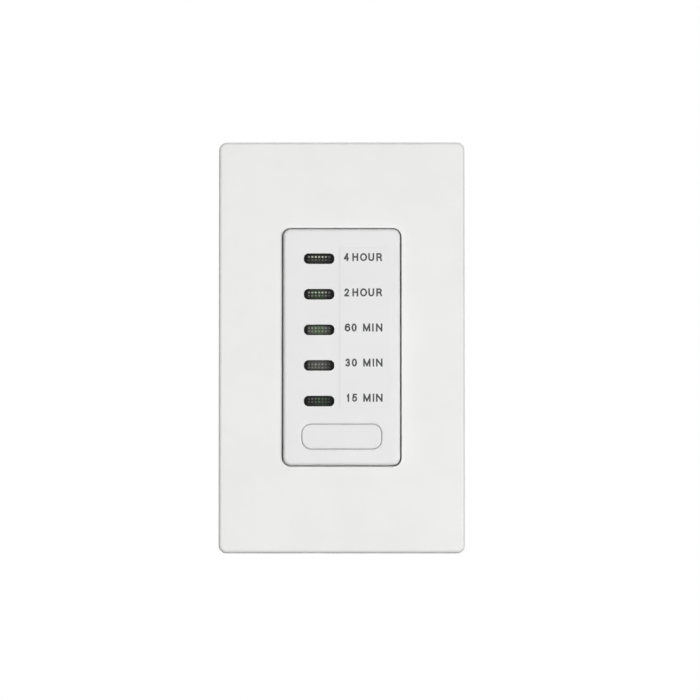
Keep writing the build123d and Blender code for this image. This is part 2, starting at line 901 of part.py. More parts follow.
def electrolytic_capacitor():
    """The round can that smooths the supply, with its rolled groove."""
    back = power_board_back + can_depth
    body = rod(can_radius, power_board_back, back, can_x, can_z)
    groove_front = power_board_back + can_groove_place
    groove_back = groove_front + can_groove_width
    ring = rod(can_radius + overrun, groove_front, groove_back, can_x, can_z)
    ring -= rod(can_radius - can_groove_depth, groove_front, groove_back, can_x, can_z)
    return with_leads(body - ring, can_leads)


def surge_absorber():
    """The disc that absorbs surges, standing on its leads."""
    middle = power_board_back + surge_standoff + surge_radius
    half = surge_thickness / 2
    disc = cross_rod(surge_radius, surge_x - half, surge_x + half, middle, surge_z)
    disc = fillet(disc.edges().filter_by(GeomType.CIRCLE), surge_edge_round)
    for lead in leads(surge_leads, middle):
        disc += lead
    return disc


def bridge_rectifier():
    """The square rectifier with four leads."""
    back = power_board_back + bridge_depth
    body = rounded(bridge_width, bridge_height, bridge_corner, power_board_back, back, bridge_x, bridge_z)
    return with_leads(body, bridge_leads)


def fuse():
    """The small round fuse."""
    back = power_board_back + fuse_depth
    return with_leads(rod(fuse_radius, power_board_back, back, fuse_x, fuse_z), fuse_leads)


def dropper_resistor():
    """The resistor that lies on the board, with its two leads bent down."""
    y = power_board_back + resistor_standoff + resistor_radius
    half_body = resistor_length / 2
    body = cross_rod(resistor_radius, resistor_x - half_body, resistor_x + half_body, y, resistor_z)
    half_span = resistor_lead_spacing / 2
    body += cross_rod(lead_radius, resistor_x - half_span, resistor_x + half_span, y, resistor_z)
    for lead in leads(resistor_leads, y):
        body += lead
    for x, z in resistor_leads:
        body += Pos(x, y, z) * Sphere(lead_radius)
    return body


# Relay

def relay_base():
    """The relay's floor, with holes for its pins and the core's rivet."""
    body = block(relay_width, relay_length, power_board_back, relay_floor, relay_x, relay_z)
    front = power_board_back - overrun
    back = relay_floor + overrun
    for x, z in relay_pin_places + [fixed_pin_place]:
        body -= rod(relay_pin_radius + close_fit, front, back, x, z)
    return body


def relay_cover():
    """The relay's case, open towards the base."""
    shell = block(relay_width, relay_length, relay_floor, relay_back, relay_x, relay_z)
    inner_width = relay_width - 2 * relay_cover_wall
    inner_length = relay_length - 2 * relay_cover_wall
    inner_back = relay_back - relay_cover_wall
    return shell - block(inner_width, inner_length, relay_floor - overrun, inner_back, relay_x, relay_z)


def relay_frame():
    """The iron L that carries the core and the armature's knife edge."""
    leg_end = coil_z + bobbin_flange_radius / 2
    half_width = iron_width / 2
    x_ends = (relay_x - half_width, relay_x + half_width)
    leg = brick(x_ends, (relay_floor, bobbin_front), (frame_outer, leg_end))
    upright_back = armature_front - close_fit
    upright_end = frame_outer + iron_thickness
    body = leg + brick(x_ends, (relay_floor, upright_back), (frame_outer, upright_end))
    rivet_hole = core_rivet_radius + close_fit
    return body - rod(rivet_hole, relay_floor - overrun, bobbin_front + close_fit, relay_x, coil_z)


def relay_core():
    """The iron core, with a rivet end in the frame and a wider pole face."""
    rivet_front = relay_floor + close_fit
    core = rod(core_radius, bobbin_front, pole_face, relay_x, coil_z)
    core += rod(core_rivet_radius, rivet_front, bobbin_front, relay_x, coil_z)
    return core + rod(pole_radius, bobbin_back, pole_face, relay_x, coil_z)


def relay_bobbin():
    """The plastic spool on the core."""
    tube_radius = core_radius + close_fit + bobbin_wall
    body = rod(tube_radius, bobbin_front, bobbin_back, relay_x, coil_z)
    front_flange_end = bobbin_front + bobbin_flange_thickness
    back_flange_start = bobbin_back - bobbin_flange_thickness
    body += rod(bobbin_flange_radius, bobbin_front, front_flange_end, relay_x, coil_z)
    body += rod(bobbin_flange_radius, back_flange_start, bobbin_back, relay_x, coil_z)
    bore_radius = core_radius + close_fit
    return body - rod(bore_radius, bobbin_front - overrun, bobbin_back + overrun, relay_x, coil_z)


def relay_winding():
    """The copper winding on the spool, drawn as one closed ring."""
    front = bobbin_front + bobbin_flange_thickness
    back = bobbin_back - bobbin_flange_thickness
    inner_radius = core_radius + close_fit + bobbin_wall + close_fit
    ring = rod(winding_radius, front, back, relay_x, coil_z)
    return ring - rod(inner_radius, front - overrun, back + overrun, relay_x, coil_z)


def relay_armature():
    """The iron flap that rocks on the frame's edge towards the pole face."""
    half_width = iron_width / 2
    x_ends = (relay_x - half_width, relay_x + half_width)
    return brick(x_ends, (armature_front, armature_back), (frame_outer, armature_end))


def relay_moving_contact():
    """The spring strip on the armature and its contact."""
    half_width = contact_strip_width / 2
    x_ends = (relay_x - half_width, relay_x + half_width)
    strip_end = contact_z + contact_radius
    body = brick(x_ends, (armature_back, contact_strip_back), (hinge_z, strip_end))
    return body + rod(contact_radius, moving_contact_front, armature_back, relay_x, contact_z)


def relay_fixed_contact():
    """The fixed contact on its own bracket, with its pin through the board."""
    half_width = contact_strip_width / 2
    x_ends = (relay_x - half_width, relay_x + half_width)
    strip_front = fixed_strip_back - contact_strip_thickness
    body = brick(x_ends, (relay_floor, fixed_strip_back), (fixed_strip_inner, fixed_strip_outer))
    body += brick(x_ends, (strip_front, fixed_strip_back), (contact_z - contact_radius, fixed_strip_outer))
    body += rod(contact_radius, fixed_strip_back, fixed_contact_back, relay_x, contact_z)
    pin_x, pin_z = fixed_pin_place
    return body + rod(relay_pin_radius, power_board_front - lead_tail, relay_floor, pin_x, pin_z)


def relay_pins():
    """The two coil pins and the pin of the moving contact's frame."""
    front = power_board_front - lead_tail
    return [rod(relay_pin_radius, front, relay_floor, x, z) for x, z in relay_pin_places]


# Terminals and housing

def terminal_strip(side, z):
    """A bent brass strip, from the pocket through the housing's wall down to the board."""
    half_width = strip_width / 2
    half_leg = strip_leg_width / 2
    outer_z = (z - half_width, z + half_width)
    leg_z = (z - half_leg, z + half_leg)
    strip_back = strip_front + strip_thickness
    outer_end = strip_front + strip_thickness + strip_length
    body = brick((side * pocket_floor, side * strip_face), (strip_front, outer_end), outer_z)
    body += brick((side * strip_leg_inner, side * strip_face), (strip_front, strip_back), leg_z)
    leg_front = power_board_front - lead_tail
    body += brick((side * strip_leg_inner, side * strip_leg_outer), (leg_front, strip_back), leg_z)
    hole_radius = terminal_screw_radius + close_fit
    return body - cross_rod(
        hole_radius,
        side * (pocket_floor - overrun),
        side * (strip_face + overrun),
        terminal_screw_depth,
        z,
    )


def terminal_screw(side, z):
    """The wide-headed screw of one terminal."""
    seat = side * clamp_face
    top = side * (clamp_face + terminal_head_height)
    head = cross_rod(terminal_head_radius, seat, top, terminal_screw_depth, z)
    tip = side * pocket_inner
    return side_screw(
        head, terminal_head_radius, terminal_screw_radius, seat, top, tip, terminal_screw_depth, z
    )


def terminal_clamps():
    """Three square plates that press a wire against its strip."""
    clamps = []
    half = clamp_size / 2
    y = terminal_screw_depth
    for side, z in terminals.values():
        x_ends = (side * (strip_face + close_fit), side * clamp_face)
        body = brick(x_ends, (y - half, y + half), (z - half, z + half))
        body = fillet(body.edges().filter_by(Axis.X), clamp_corner)
        hole_radius = terminal_screw_radius + close_fit
        hole_start = side * (strip_face - overrun)
        hole_end = side * (clamp_face + overrun)
        clamps.append(body - cross_rod(hole_radius, hole_start, hole_end, y, z))
    return clamps


def rear_housing():
    """The deep case behind the strap, with screw posts and three side pockets."""
    shell = rounded(housing_width, housing_height, housing_corner, yoke_back, housing_back)
    back_face = shell.faces().sort_by(Axis.Y)[-1]
    shell = fillet(back_face.outer_wire().edges(), housing_edge_round)
    shell -= block(housing_inner_width, housing_inner_height, yoke_back - overrun, housing_inner)
    wall_middle = housing_inner + housing_wall / 2
    for x, z in corner_places:
        shell += rod(housing_post_radius, power_board_back, wall_middle, x, z)
    half_pocket = pocket_height / 2
    side_middle = housing_width / 2 - housing_wall / 2
    for side, z in terminals.values():
        wall_z = (z - half_pocket - pocket_wall, z + half_pocket + pocket_wall)
        wall_y = (pocket_front - pocket_wall, wall_middle)
        shell += brick((side * pocket_inner, side * side_middle), wall_y, wall_z)
    for side, z in terminals.values():
        pocket_z = (z - half_pocket, z + half_pocket)
        outside = side * (housing_width / 2 + overrun)
        shell -= brick((side * pocket_floor, outside), (pocket_front, housing_back + overrun), pocket_z)
        inside = side * (pocket_inner - overrun)
        slot_y = (strip_front - free_fit, strip_front + strip_thickness + free_fit)
        half_slot = strip_leg_width / 2 + free_fit
        shell -= brick((inside, outside), slot_y, (z - half_slot, z + half_slot))
        hole_radius = terminal_screw_radius + free_fit
        shell -= cross_rod(hole_radius, inside, outside, terminal_screw_depth, z)
    counterbore = housing_back - housing_head_height - housing_head_recess
    for x, z in corner_places:
        shell -= rod(housing_screw_radius + free_fit, power_board_back - overrun, housing_back, x, z)
        shell -= rod(housing_head_radius + free_fit, counterbore, housing_back + overrun, x, z)
    return shell


def housing_screws():
    """Four long screws that clamp the housing, power board, strap and face together."""
    seat = housing_back - housing_head_height - housing_head_recess
    tip = power_board_front - housing_screw_grip
    return [
        screw(housing_head_radius, housing_head_height, housing_screw_radius, seat, tip, x, z)
        for x, z in corner_places
    ]


sub_parts = {
    "wall_plate": wall_plate(),
    "sub_plate": sub_plate(),
    "sub_plate_screws": sub_plate_screws(),
    "mounting_yoke": mounting_yoke(),
    "ground_screw": ground_screw(),
    "box_screws": box_screws(),
    "screw_retainers": screw_retainers(),
    "front_cover": front_cover(),
    "legend_label": legend_label(),
    "light_baffle": light_baffle(),
    "start_button": start_button(),
    "button_springs": button_springs(),
    "tact_switch_body": tact_switch_body(),
    "tact_switch_plunger": tact_switch_plunger(),
    "control_board": control_board(),
    "board_screws": board_screws(),
    "indicator_leds": indicator_leds(),
    "chip_resistors": chip_resistors(),
    "timer_chip": timer_chip(),
    "header_socket": header_socket(),
    "header_block": header_block(),
    "header_pins": header_pin_row(),
    "power_board": power_board(),
    "film_capacitor": film_capacitor(),
    "electrolytic_capacitor": electrolytic_capacitor(),
    "surge_absorber": surge_absorber(),
    "bridge_rectifier": bridge_rectifier(),
    "fuse": fuse(),
    "dropper_resistor": dropper_resistor(),
    "relay_base": relay_base(),
    "relay_cover": relay_cover(),
    "relay_frame": relay_frame(),
    "relay_core": relay_core(),
    "relay_bobbin": relay_bobbin(),
    "relay_winding": relay_winding(),
    "relay_armature": relay_armature(),
    "relay_moving_contact": relay_moving_contact(),
    "relay_fixed_contact": relay_fixed_contact(),
    "relay_pins": relay_pins(),
    "terminal_clamps": terminal_clamps(),
    "hot_terminal_screws": [terminal_screw(*terminals[name]) for name in ("line", "load")],
    "neutral_terminal_screw": terminal_screw(*terminals["neutral"]),
    "rear_housing": rear_housing(),
    "housing_screws": housing_screws(),
}
for period, row in zip(periods, window_rows):
    sub_parts[f"lens_{period}"] = lens(row)
for terminal, (side, row) in terminals.items():
    sub_parts[f"{terminal}_terminal"] = terminal_strip(side, row)

os.makedirs("parts", exist_ok=True)
for name, shape in sub_parts.items():
    if isinstance(shape, list):
        shape = Compound([solid for piece in shape for solid in piece.solids()])
    export_step(shape, f"parts/{name}.step")

swing = math.degrees(armature_angle)
print(f"armature swings {swing:.2f} degrees about y {armature_front:.3f}, z {hinge_z:.3f}")
print(f"button axis at x 0, z {button_z:.3f}, travel {button_travel} mm")
print(f"{len(sub_parts)} sub-parts written")
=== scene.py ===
# %% [markdown]
# # Timer light switch
#
# This lesson dresses the solids of a countdown timer for a wall: a white plate, an insert with
# five dark windows, a printed legend and one long push button. The solids arrive from the packed
# model as a fixed frame, so nothing here moves or resizes them. Materials, threads, springs and
# print are added.

# %% Load the frame
import json
import math

import bmesh
import bpy
import numpy as np
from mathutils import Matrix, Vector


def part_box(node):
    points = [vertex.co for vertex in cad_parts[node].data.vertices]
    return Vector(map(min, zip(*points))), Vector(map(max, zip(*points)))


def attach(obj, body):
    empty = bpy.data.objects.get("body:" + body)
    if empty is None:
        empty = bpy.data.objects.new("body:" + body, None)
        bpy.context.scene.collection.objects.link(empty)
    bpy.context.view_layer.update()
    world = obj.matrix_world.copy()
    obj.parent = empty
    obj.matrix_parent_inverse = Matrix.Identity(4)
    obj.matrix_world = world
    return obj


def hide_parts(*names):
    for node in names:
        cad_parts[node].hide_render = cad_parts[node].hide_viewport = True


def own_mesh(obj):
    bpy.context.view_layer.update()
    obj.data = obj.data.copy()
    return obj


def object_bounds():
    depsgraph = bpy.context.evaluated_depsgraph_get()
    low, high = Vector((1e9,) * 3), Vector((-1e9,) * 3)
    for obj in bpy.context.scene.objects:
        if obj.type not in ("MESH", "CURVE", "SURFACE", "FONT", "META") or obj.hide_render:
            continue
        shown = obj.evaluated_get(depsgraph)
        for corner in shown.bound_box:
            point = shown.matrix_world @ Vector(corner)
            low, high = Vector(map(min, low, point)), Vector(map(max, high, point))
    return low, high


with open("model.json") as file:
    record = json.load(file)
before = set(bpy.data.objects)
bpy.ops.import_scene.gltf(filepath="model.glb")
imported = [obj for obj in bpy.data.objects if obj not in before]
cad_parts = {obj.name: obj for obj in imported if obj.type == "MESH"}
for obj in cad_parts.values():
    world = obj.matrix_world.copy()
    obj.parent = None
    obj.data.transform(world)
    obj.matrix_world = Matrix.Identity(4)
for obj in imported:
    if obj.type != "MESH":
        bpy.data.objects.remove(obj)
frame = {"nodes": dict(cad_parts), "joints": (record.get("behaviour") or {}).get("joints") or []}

nodes = frame["nodes"]
cad_low, cad_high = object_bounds()
cad_size = [round((high - low) * 1000, 2) for low, high in zip(cad_low, cad_high)]
print("solids:", len(nodes), "size in mm:", cad_size)

# %% [markdown]
# ## The camera
#
# The product was photographed from straight ahead and a little below, with a long lens: its sides
# don't spread, and a thin dark line of the underside shows. So the camera stands 1.5 m away, 3.2
# degrees below the level, and its lens is worked out from how wide the picture is at the plate.

# %% Place the camera
mm = 0.001
camera_distance = 1.5
camera_elevation = math.radians(-3.2)
picture_width = 197.5 * mm
picture_pixels = 700
sensor_width = 36.0
aim_right = 2.34 * mm
aim_down = 0.80 * mm
plate_front_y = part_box("wall_plate")[0].y

camera_data = bpy.data.cameras.new("camera")
camera = bpy.data.objects.new("camera", camera_data)
bpy.context.collection.objects.link(camera)
camera_data.sensor_width = sensor_width
camera_data.lens = sensor_width * camera_distance / picture_width
camera_data.clip_start = 0.05
camera_data.clip_end = 50.0
camera.location = (
    aim_right,
    plate_front_y - camera_distance * math.cos(camera_elevation),
    camera_distance * math.sin(camera_elevation) - aim_down,
)
camera.rotation_euler = (math.pi / 2 - camera_elevation, 0.0, 0.0)
bpy.context.scene.camera = camera
pixels_per_mm = picture_pixels * mm / picture_width
print("lens:", round(camera_data.lens, 1), "mm")
print("pixels per mm at the plate:", round(pixels_per_mm, 3))

# %% [markdown]
# ## Sums in the shader
#
# A material is a net of nodes. Writing it as nodes and links is slow to read, so this small class
# wraps one socket and lets it stand in a Python sum: each sum adds one Math node. Colours don't
# go through it, because a Math node would turn them grey.

# %% Wrap a socket
def feed(tree, socket, value):
    """Link a wire into a socket, or set the socket to a plain value."""
    if isinstance(value, Wire):
        tree.links.new(value.socket, socket)
    else:
        socket.default_value = value


class Wire:
    """One output socket of a shader tree."""

    def __init__(self, tree, socket):
        self.tree = tree
        self.socket = socket

    def sum(self, operation, *values):
        node = self.tree.nodes.new("ShaderNodeMath")
        node.operation = operation
        for place, value in enumerate(values):
            feed(self.tree, node.inputs[place], value)
        return Wire(self.tree, node.outputs[0])

    def __add__(self, other):
        return self.sum("ADD", self, other)

    def __radd__(self, other):
        return self.sum("ADD", other, self)

    def __sub__(self, other):
        return self.sum("SUBTRACT", self, other)

    def __rsub__(self, other):
        return self.sum("SUBTRACT", other, self)

    def __mul__(self, other):
        return self.sum("MULTIPLY", self, other)

    def __rmul__(self, other):
        return self.sum("MULTIPLY", other, self)

    def __truediv__(self, other):
        return self.sum("DIVIDE", self, other)

    def absolute(self):
        return self.sum("ABSOLUTE", self)

    def below(self, limit):
        return self.sum("LESS_THAN", self, limit)

    def above(self, limit):
        return self.sum("GREATER_THAN", self, limit)

    def wave(self):
        return self.sum("SINE", self)

    def root(self):
        return self.sum("SQRT", self)

    def whole(self):
        return self.sum("ROUND", self)

    def greater(self, other):
        return self.sum("MAXIMUM", self, other)


print("sockets can be added and multiplied")

# %% [markdown]
# ## A finish
#
# Every material below is made by one class. Its node method takes a node's type, its settings and
# the values or links of its sockets. The few methods after it are the moves that repeat: a noise
# of a given grain size in millimetres, a soft step, a mix of two colours, and relief given in
# microns, as a mould maker would give it. Places are read from the object's own coordinates, in
# metres.

# %% Make finishes
micron = 1e-6
cloud_edges = (0.3, 0.7)


def srgb(red, green, blue):
    """A colour given as it looks on a screen, 0 to 255, as linear light."""
    shares = np.array([red, green, blue]) / 255.0
    light = np.where(shares <= 0.04045, shares / 12.92, ((shares + 0.055) / 1.055) ** 2.4)
    return (*[float(value) for value in light], 1.0)


class Finish:
    """A material being made, with the moves that the finishes share."""

    def __init__(self, name):
        self.material = bpy.data.materials.new(name)
        self.material.use_nodes = True
        self.tree = self.material.node_tree
        self.tree.nodes.clear()
        self.place = self.node("ShaderNodeTexCoord", output="Object")

    def node(self, kind, settings=None, sockets=None, output=0):
        node = self.tree.nodes.new(kind)
        for key, value in (settings or {}).items():
            setattr(node, key, value)
        for key, value in (sockets or {}).items():
            feed(self.tree, node.inputs[key], value)
        return Wire(self.tree, node.outputs[output])

    def axes(self, vector=None):
        split = self.tree.nodes.new("ShaderNodeSeparateXYZ")
        feed(self.tree, split.inputs[0], vector or self.place)
        return [Wire(self.tree, output) for output in split.outputs]

    def stretched(self, scale):
        settings = {"vector_type": "POINT"}
        return self.node("ShaderNodeMapping", settings, {"Vector": self.place, "Scale": scale})

    def noise(self, grain, detail=2.0, roughness=0.5, vector=None):
        """A noise whose grains are so many millimetres wide."""
        sockets = {"Vector": vector or self.place, "Scale": 1.0 / (grain * mm)}
        sockets.update({"Detail": detail, "Roughness": roughness})
        return self.node("ShaderNodeTexNoise", None, sockets)

    def step(self, value, start, end):
        """A smooth rise from zero at start to one at end, or the other way where end is less."""
        limits = {"From Min": start, "From Max": end, "To Min": 0.0, "To Max": 1.0}
        settings = {"interpolation_type": "SMOOTHSTEP"}
        return self.node("ShaderNodeMapRange", settings, {"Value": value, **limits})

    def mixed(self, factor, first, second):
        """The first colour where the factor is zero and the second where it is one."""
        sockets = {0: factor, 6: first, 7: second}
        return self.node("ShaderNodeMix", {"data_type": "RGBA"}, sockets, 2)

    def clouded(self, pattern, color, cloudy, edges=cloud_edges):
        """Two colours in screen values, softly mixed by a pattern's middle values."""
        return self.mixed(self.step(pattern, *edges), srgb(*color), srgb(*cloudy))

    def relief(self, height, depth, under=None):
        """A bump whose full height is depth in microns, over another bump where one is given."""
        sockets = {"Height": height, "Strength": 1.0, "Distance": depth * micron}
        if under is not None:
            sockets["Normal"] = under
        return self.node("ShaderNodeBump", None, sockets)

    def coated(self, color, roughness, normal, metallic=0.0, **fixed):
        """The finished material. The fixed values are the same all over."""
        sockets = {"Base Color": color, "Roughness": roughness, "Metallic": metallic}
        sockets["Normal"] = normal
        sockets.update({key.replace("_", " "): value for key, value in fixed.items()})
        return self.closed(self.node("ShaderNodeBsdfPrincipled", None, sockets))

    def closed(self, shader):
        end = self.tree.nodes.new("ShaderNodeOutputMaterial")
        feed(self.tree, end.inputs["Surface"], shader)
        return self.material


print("finishes read places in metres and relief in microns")

# %% [markdown]
# ## Light and floor
#
# A white wall device is shown by small differences of light. One soft lamp stands to the lower
# right, so that the insert shades the plate a little on its left, and the plate is brightest
# below and right of it. A weaker lamp fills from the upper left, and a third keeps the black
# housing readable. The floor lies far enough below to leave room for the first lamp. The world is
# white where the camera or a reflection sees it and dimmer as a light. It dims further to the
# left and right, so that the outer edges stay darker than the faces. The floor does the same: it
# looks pale and throws little light up.

# %% Set the world
world = bpy.data.worlds.new("studio")
bpy.context.scene.world = world
world.use_nodes = True
world.node_tree.nodes.clear()
white = (1.0, 1.0, 1.0, 1.0)
world_fill = 0.3


def seen_directly(tree):
    """One where a ray comes from the camera, a reflection or glass, and zero for soft light."""
    path = tree.nodes.new("ShaderNodeLightPath")
    camera_ray, glossy_ray, glass_ray = [
        Wire(tree, path.outputs[name])
        for name in ("Is Camera Ray", "Is Glossy Ray", "Is Transmission Ray")
    ]
    return camera_ray.greater(glossy_ray).greater(glass_ray)


heading = world.node_tree.nodes.new("ShaderNodeTexCoord")
heading_split = world.node_tree.nodes.new("ShaderNodeSeparateXYZ")
world.node_tree.links.new(heading.outputs["Generated"], heading_split.inputs[0])
sideways = Wire(world.node_tree, heading_split.outputs[0])
sky = world.node_tree.nodes.new("ShaderNodeBackground")
seen = seen_directly(world.node_tree)
soft = (1.0 - sideways * sideways) * world_fill
sky.inputs["Color"].default_value = white
feed(world.node_tree, sky.inputs["Strength"], seen * (1.0 - soft) + soft)
sky_end = world.node_tree.nodes.new("ShaderNodeOutputWorld")
world.node_tree.links.new(sky.outputs[0], sky_end.inputs["Surface"])
bpy.context.scene.view_settings.view_transform = "Standard"
print("world fills at", world_fill, "ahead and at zero from the sides")

# %% Hang the lamps
lamps = {
    "key_lamp": ((0.58, -1.05, -0.2), 0.5, 9.6),
    "fill_lamp": ((-0.42, -1.28, 0.15), 0.8, 6.1),
    "rear_lamp": ((-0.5, 0.95, 0.75), 0.8, 9.0),
}
for name, (place, size, power) in lamps.items():
    lamp_data = bpy.data.lights.new(name, "AREA")
    lamp_data.shape = "SQUARE"
    lamp_data.size = size
    lamp_data.energy = power
    lamp = bpy.data.objects.new(name, lamp_data)
    bpy.context.collection.objects.link(lamp)
    lamp.location = place
    towards = -lamp.location
    lamp.rotation_euler = towards.to_track_quat("-Z", "Y").to_euler()
print("lamps:", ", ".join(lamps))

# %% Lay the floor
floor_height = -0.65
floor_reach = 4.0
paper_relief = 20.0
floor_fade = (0.25, 1.3)
floor_bounce = (0.08, 0.08, 0.08, 1.0)
floor_seen = (0.9, 0.9, 0.9, 1.0)
floor_mesh = bpy.data.meshes.new("floor")
corner_signs = ((-1, -1), (1, -1), (1, 1), (-1, 1))
floor_corners = [(a * floor_reach, b * floor_reach, floor_height) for a, b in corner_signs]
floor_mesh.from_pydata(floor_corners, [], [(0, 1, 2, 3)])
floor = bpy.data.objects.new("floor", floor_mesh)
bpy.context.collection.objects.link(floor)

paper = Finish("studio_paper")
across, along, _ = paper.axes()
far = paper.step((across * across + along * along).root(), *floor_fade)
direct = seen_directly(paper.tree)
paper_tone = paper.mixed(direct, floor_bounce, floor_seen)
paper_normal = paper.relief(paper.noise(1.5, 3.0), paper_relief)
matt_sockets = {"Color": paper_tone, "Normal": paper_normal}
paper_matt = paper.node("ShaderNodeBsdfDiffuse", None, matt_sockets)
paper_white = paper.node("ShaderNodeEmission", None, {"Color": white, "Strength": 1.0})
mix_sockets = {0: direct * far, 1: paper_matt, 2: paper_white}
paper_mix = paper.node("ShaderNodeMixShader", None, mix_sockets)
floor_mesh.materials.append(paper.closed(paper_mix))
print("floor at", floor_height, "m")

# %% [markdown]
# ## Moulded plastic
#
# The plate, the insert and the button are white thermoplastic. A real moulding isn't one flat
# white: its gloss wanders a little where the melt cooled, and the mould's polish leaves a fine
# satin skin. On them the grain is only 0.2 to 0.4 mm wide and a few microns deep, so it shows as
# softness and not as dots. The black housing has a coarser grain.

# %% Moulded finishes
cloud_gloss = 0.08
skin_gloss = 0.05
plastic_specular = 0.3


def moulded(name, color, cloudy, gloss, grain=0.3, depth=3.0, cloud=14.0, **fixed):
    """Plastic out of a mould: clouds of tone and gloss under a skin as deep as given in microns."""
    finish = Finish(name)
    clouds = finish.noise(cloud, 3.0, 0.55)
    skin = finish.noise(grain, 3.0, 0.6)
    tone = finish.clouded(clouds, color, cloudy)
    rough = gloss + clouds * cloud_gloss + skin * skin_gloss
    normal = finish.relief(skin, depth)
    return finish.coated(tone, rough, normal, Specular_IOR_Level=plastic_specular, **fixed)


plate_tones = ((231, 231, 230), (234, 234, 233))
natural_tones = ((218, 217, 210), (224, 223, 217))
film_yellows = ((222, 166, 46), (230, 178, 58))
plastics = {
    "wall_plate": moulded("plate_satin_white", *plate_tones, 0.36, Coat_Weight=0.04),
    "front_cover": moulded("insert_satin_white", (228, 228, 228), (231, 231, 231), 0.33, 0.25, 2.5),
    "start_button": moulded("button_satin_white", (227, 227, 227), (229, 229, 229), 0.3, 0.22, 2.0),
    "sub_plate": moulded("sub_plate_natural", *natural_tones, 0.45, 0.35, 6.0, 9.0),
    "rear_housing": moulded("housing_black", (34, 34, 36), (42, 42, 44), 0.42, 0.55, 16.0, 12.0),
    "light_baffle": moulded("baffle_black", (20, 20, 20), (26, 26, 26), 0.55, 0.3, 8.0),
    "tact_switch_plunger": moulded("plunger_black", (30, 30, 31), (38, 38, 39), 0.4, 0.2, 3.0, 3.0),
    "header_socket": moulded("socket_black", (28, 28, 28), (35, 35, 35), 0.45, 0.25, 5.0, 4.0),
    "header_block": moulded("header_black", (30, 30, 30), (37, 37, 37), 0.45, 0.25, 5.0, 4.0),
    "fuse": moulded("fuse_brown", (72, 38, 28), (84, 46, 34), 0.4, 0.3, 5.0, 4.0),
    "relay_base": moulded("relay_base_black", (36, 36, 37), (44, 44, 45), 0.42, 0.3, 5.0, 6.0),
    "relay_cover": moulded("relay_case_blue", (32, 72, 150), (40, 82, 162), 0.28, 0.3, 3.0, 6.0),
    "relay_bobbin": moulded("bobbin_cream", (226, 219, 197), (234, 228, 208), 0.4, 0.3, 4.0, 5.0),
    "film_capacitor": moulded("film_box_yellow", *film_yellows, 0.3, 0.3, 4.0, 5.0),
}
print("moulded finishes:", len(plastics))

# %% [markdown]
# ## Metal
#
# The strap and the screws are zinc-plated steel, the terminals brass and nickel. Zinc has pale,
# cloudy patches and faint drawn lines, brass darkens where air has reached it, and copper wire
# keeps a warm gloss. One function makes them all: the clouds change colour and gloss, and a noise
# that is stretched along one axis gives the drawn lines. The screws that go into the wall get a
# little grey painted shade deep in the roots of their threads.

# %% Metal finishes
patch_edges = (0.35, 0.7)
patch_gloss = 0.16
line_gloss = 0.1
thread_crest = 1.7 * mm
thread_root = 1.4 * mm
tip_radius = 1.22 * mm
# Share and grey of the painted shade in the thread roots.
root_shade_share = 0.7
root_shade_grey = (78, 78, 80)
along_x, along_y, along_z = (0.1, 1.0, 1.0), (1.0, 0.1, 1.0), (1.0, 1.0, 0.06)
neck_ends = {"box_screws": 0.65, "sub_plate_screws": -2.2}


def thread_depth_share(finish, node):
    """One at the root and zero at the crest of a node's two threads, which run along y."""
    low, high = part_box(node)
    axis_z = high.z - (high.x - low.x) / 2
    x, y, z = finish.axes()
    off_axis = z.absolute() - axis_z
    reach = (x * x + off_axis * off_axis).root()
    share = finish.step(reach, thread_crest, thread_root)
    return share * reach.above(tip_radius) * y.above(neck_ends[node] * mm)


def plated(name, bright, dull, gloss, drawn=along_z, patch=3.0, depth=2.0, shaded_thread_node=None):
    """Metal with duller patches, fine lines drawn along one axis, and painted shade in a node's
    thread roots.
    """
    finish = Finish(name)
    patches = finish.noise(patch, 4.0, 0.6)
    lines = finish.noise(0.12, 2.0, 0.5, finish.stretched(drawn))
    grit = finish.noise(0.35, 3.0)
    tone = finish.clouded(patches, bright, dull, patch_edges)
    # Painted shade: the named node's thread roots are darkened towards a grey.
    if shaded_thread_node:
        painted_shade = thread_depth_share(finish, shaded_thread_node) * root_shade_share
        tone = finish.mixed(painted_shade, tone, srgb(*root_shade_grey))
    rough = gloss + patches * patch_gloss + lines * line_gloss
    normal = finish.relief(lines, depth, finish.relief(grit, depth))
    return finish.coated(tone, rough, normal, 1.0)


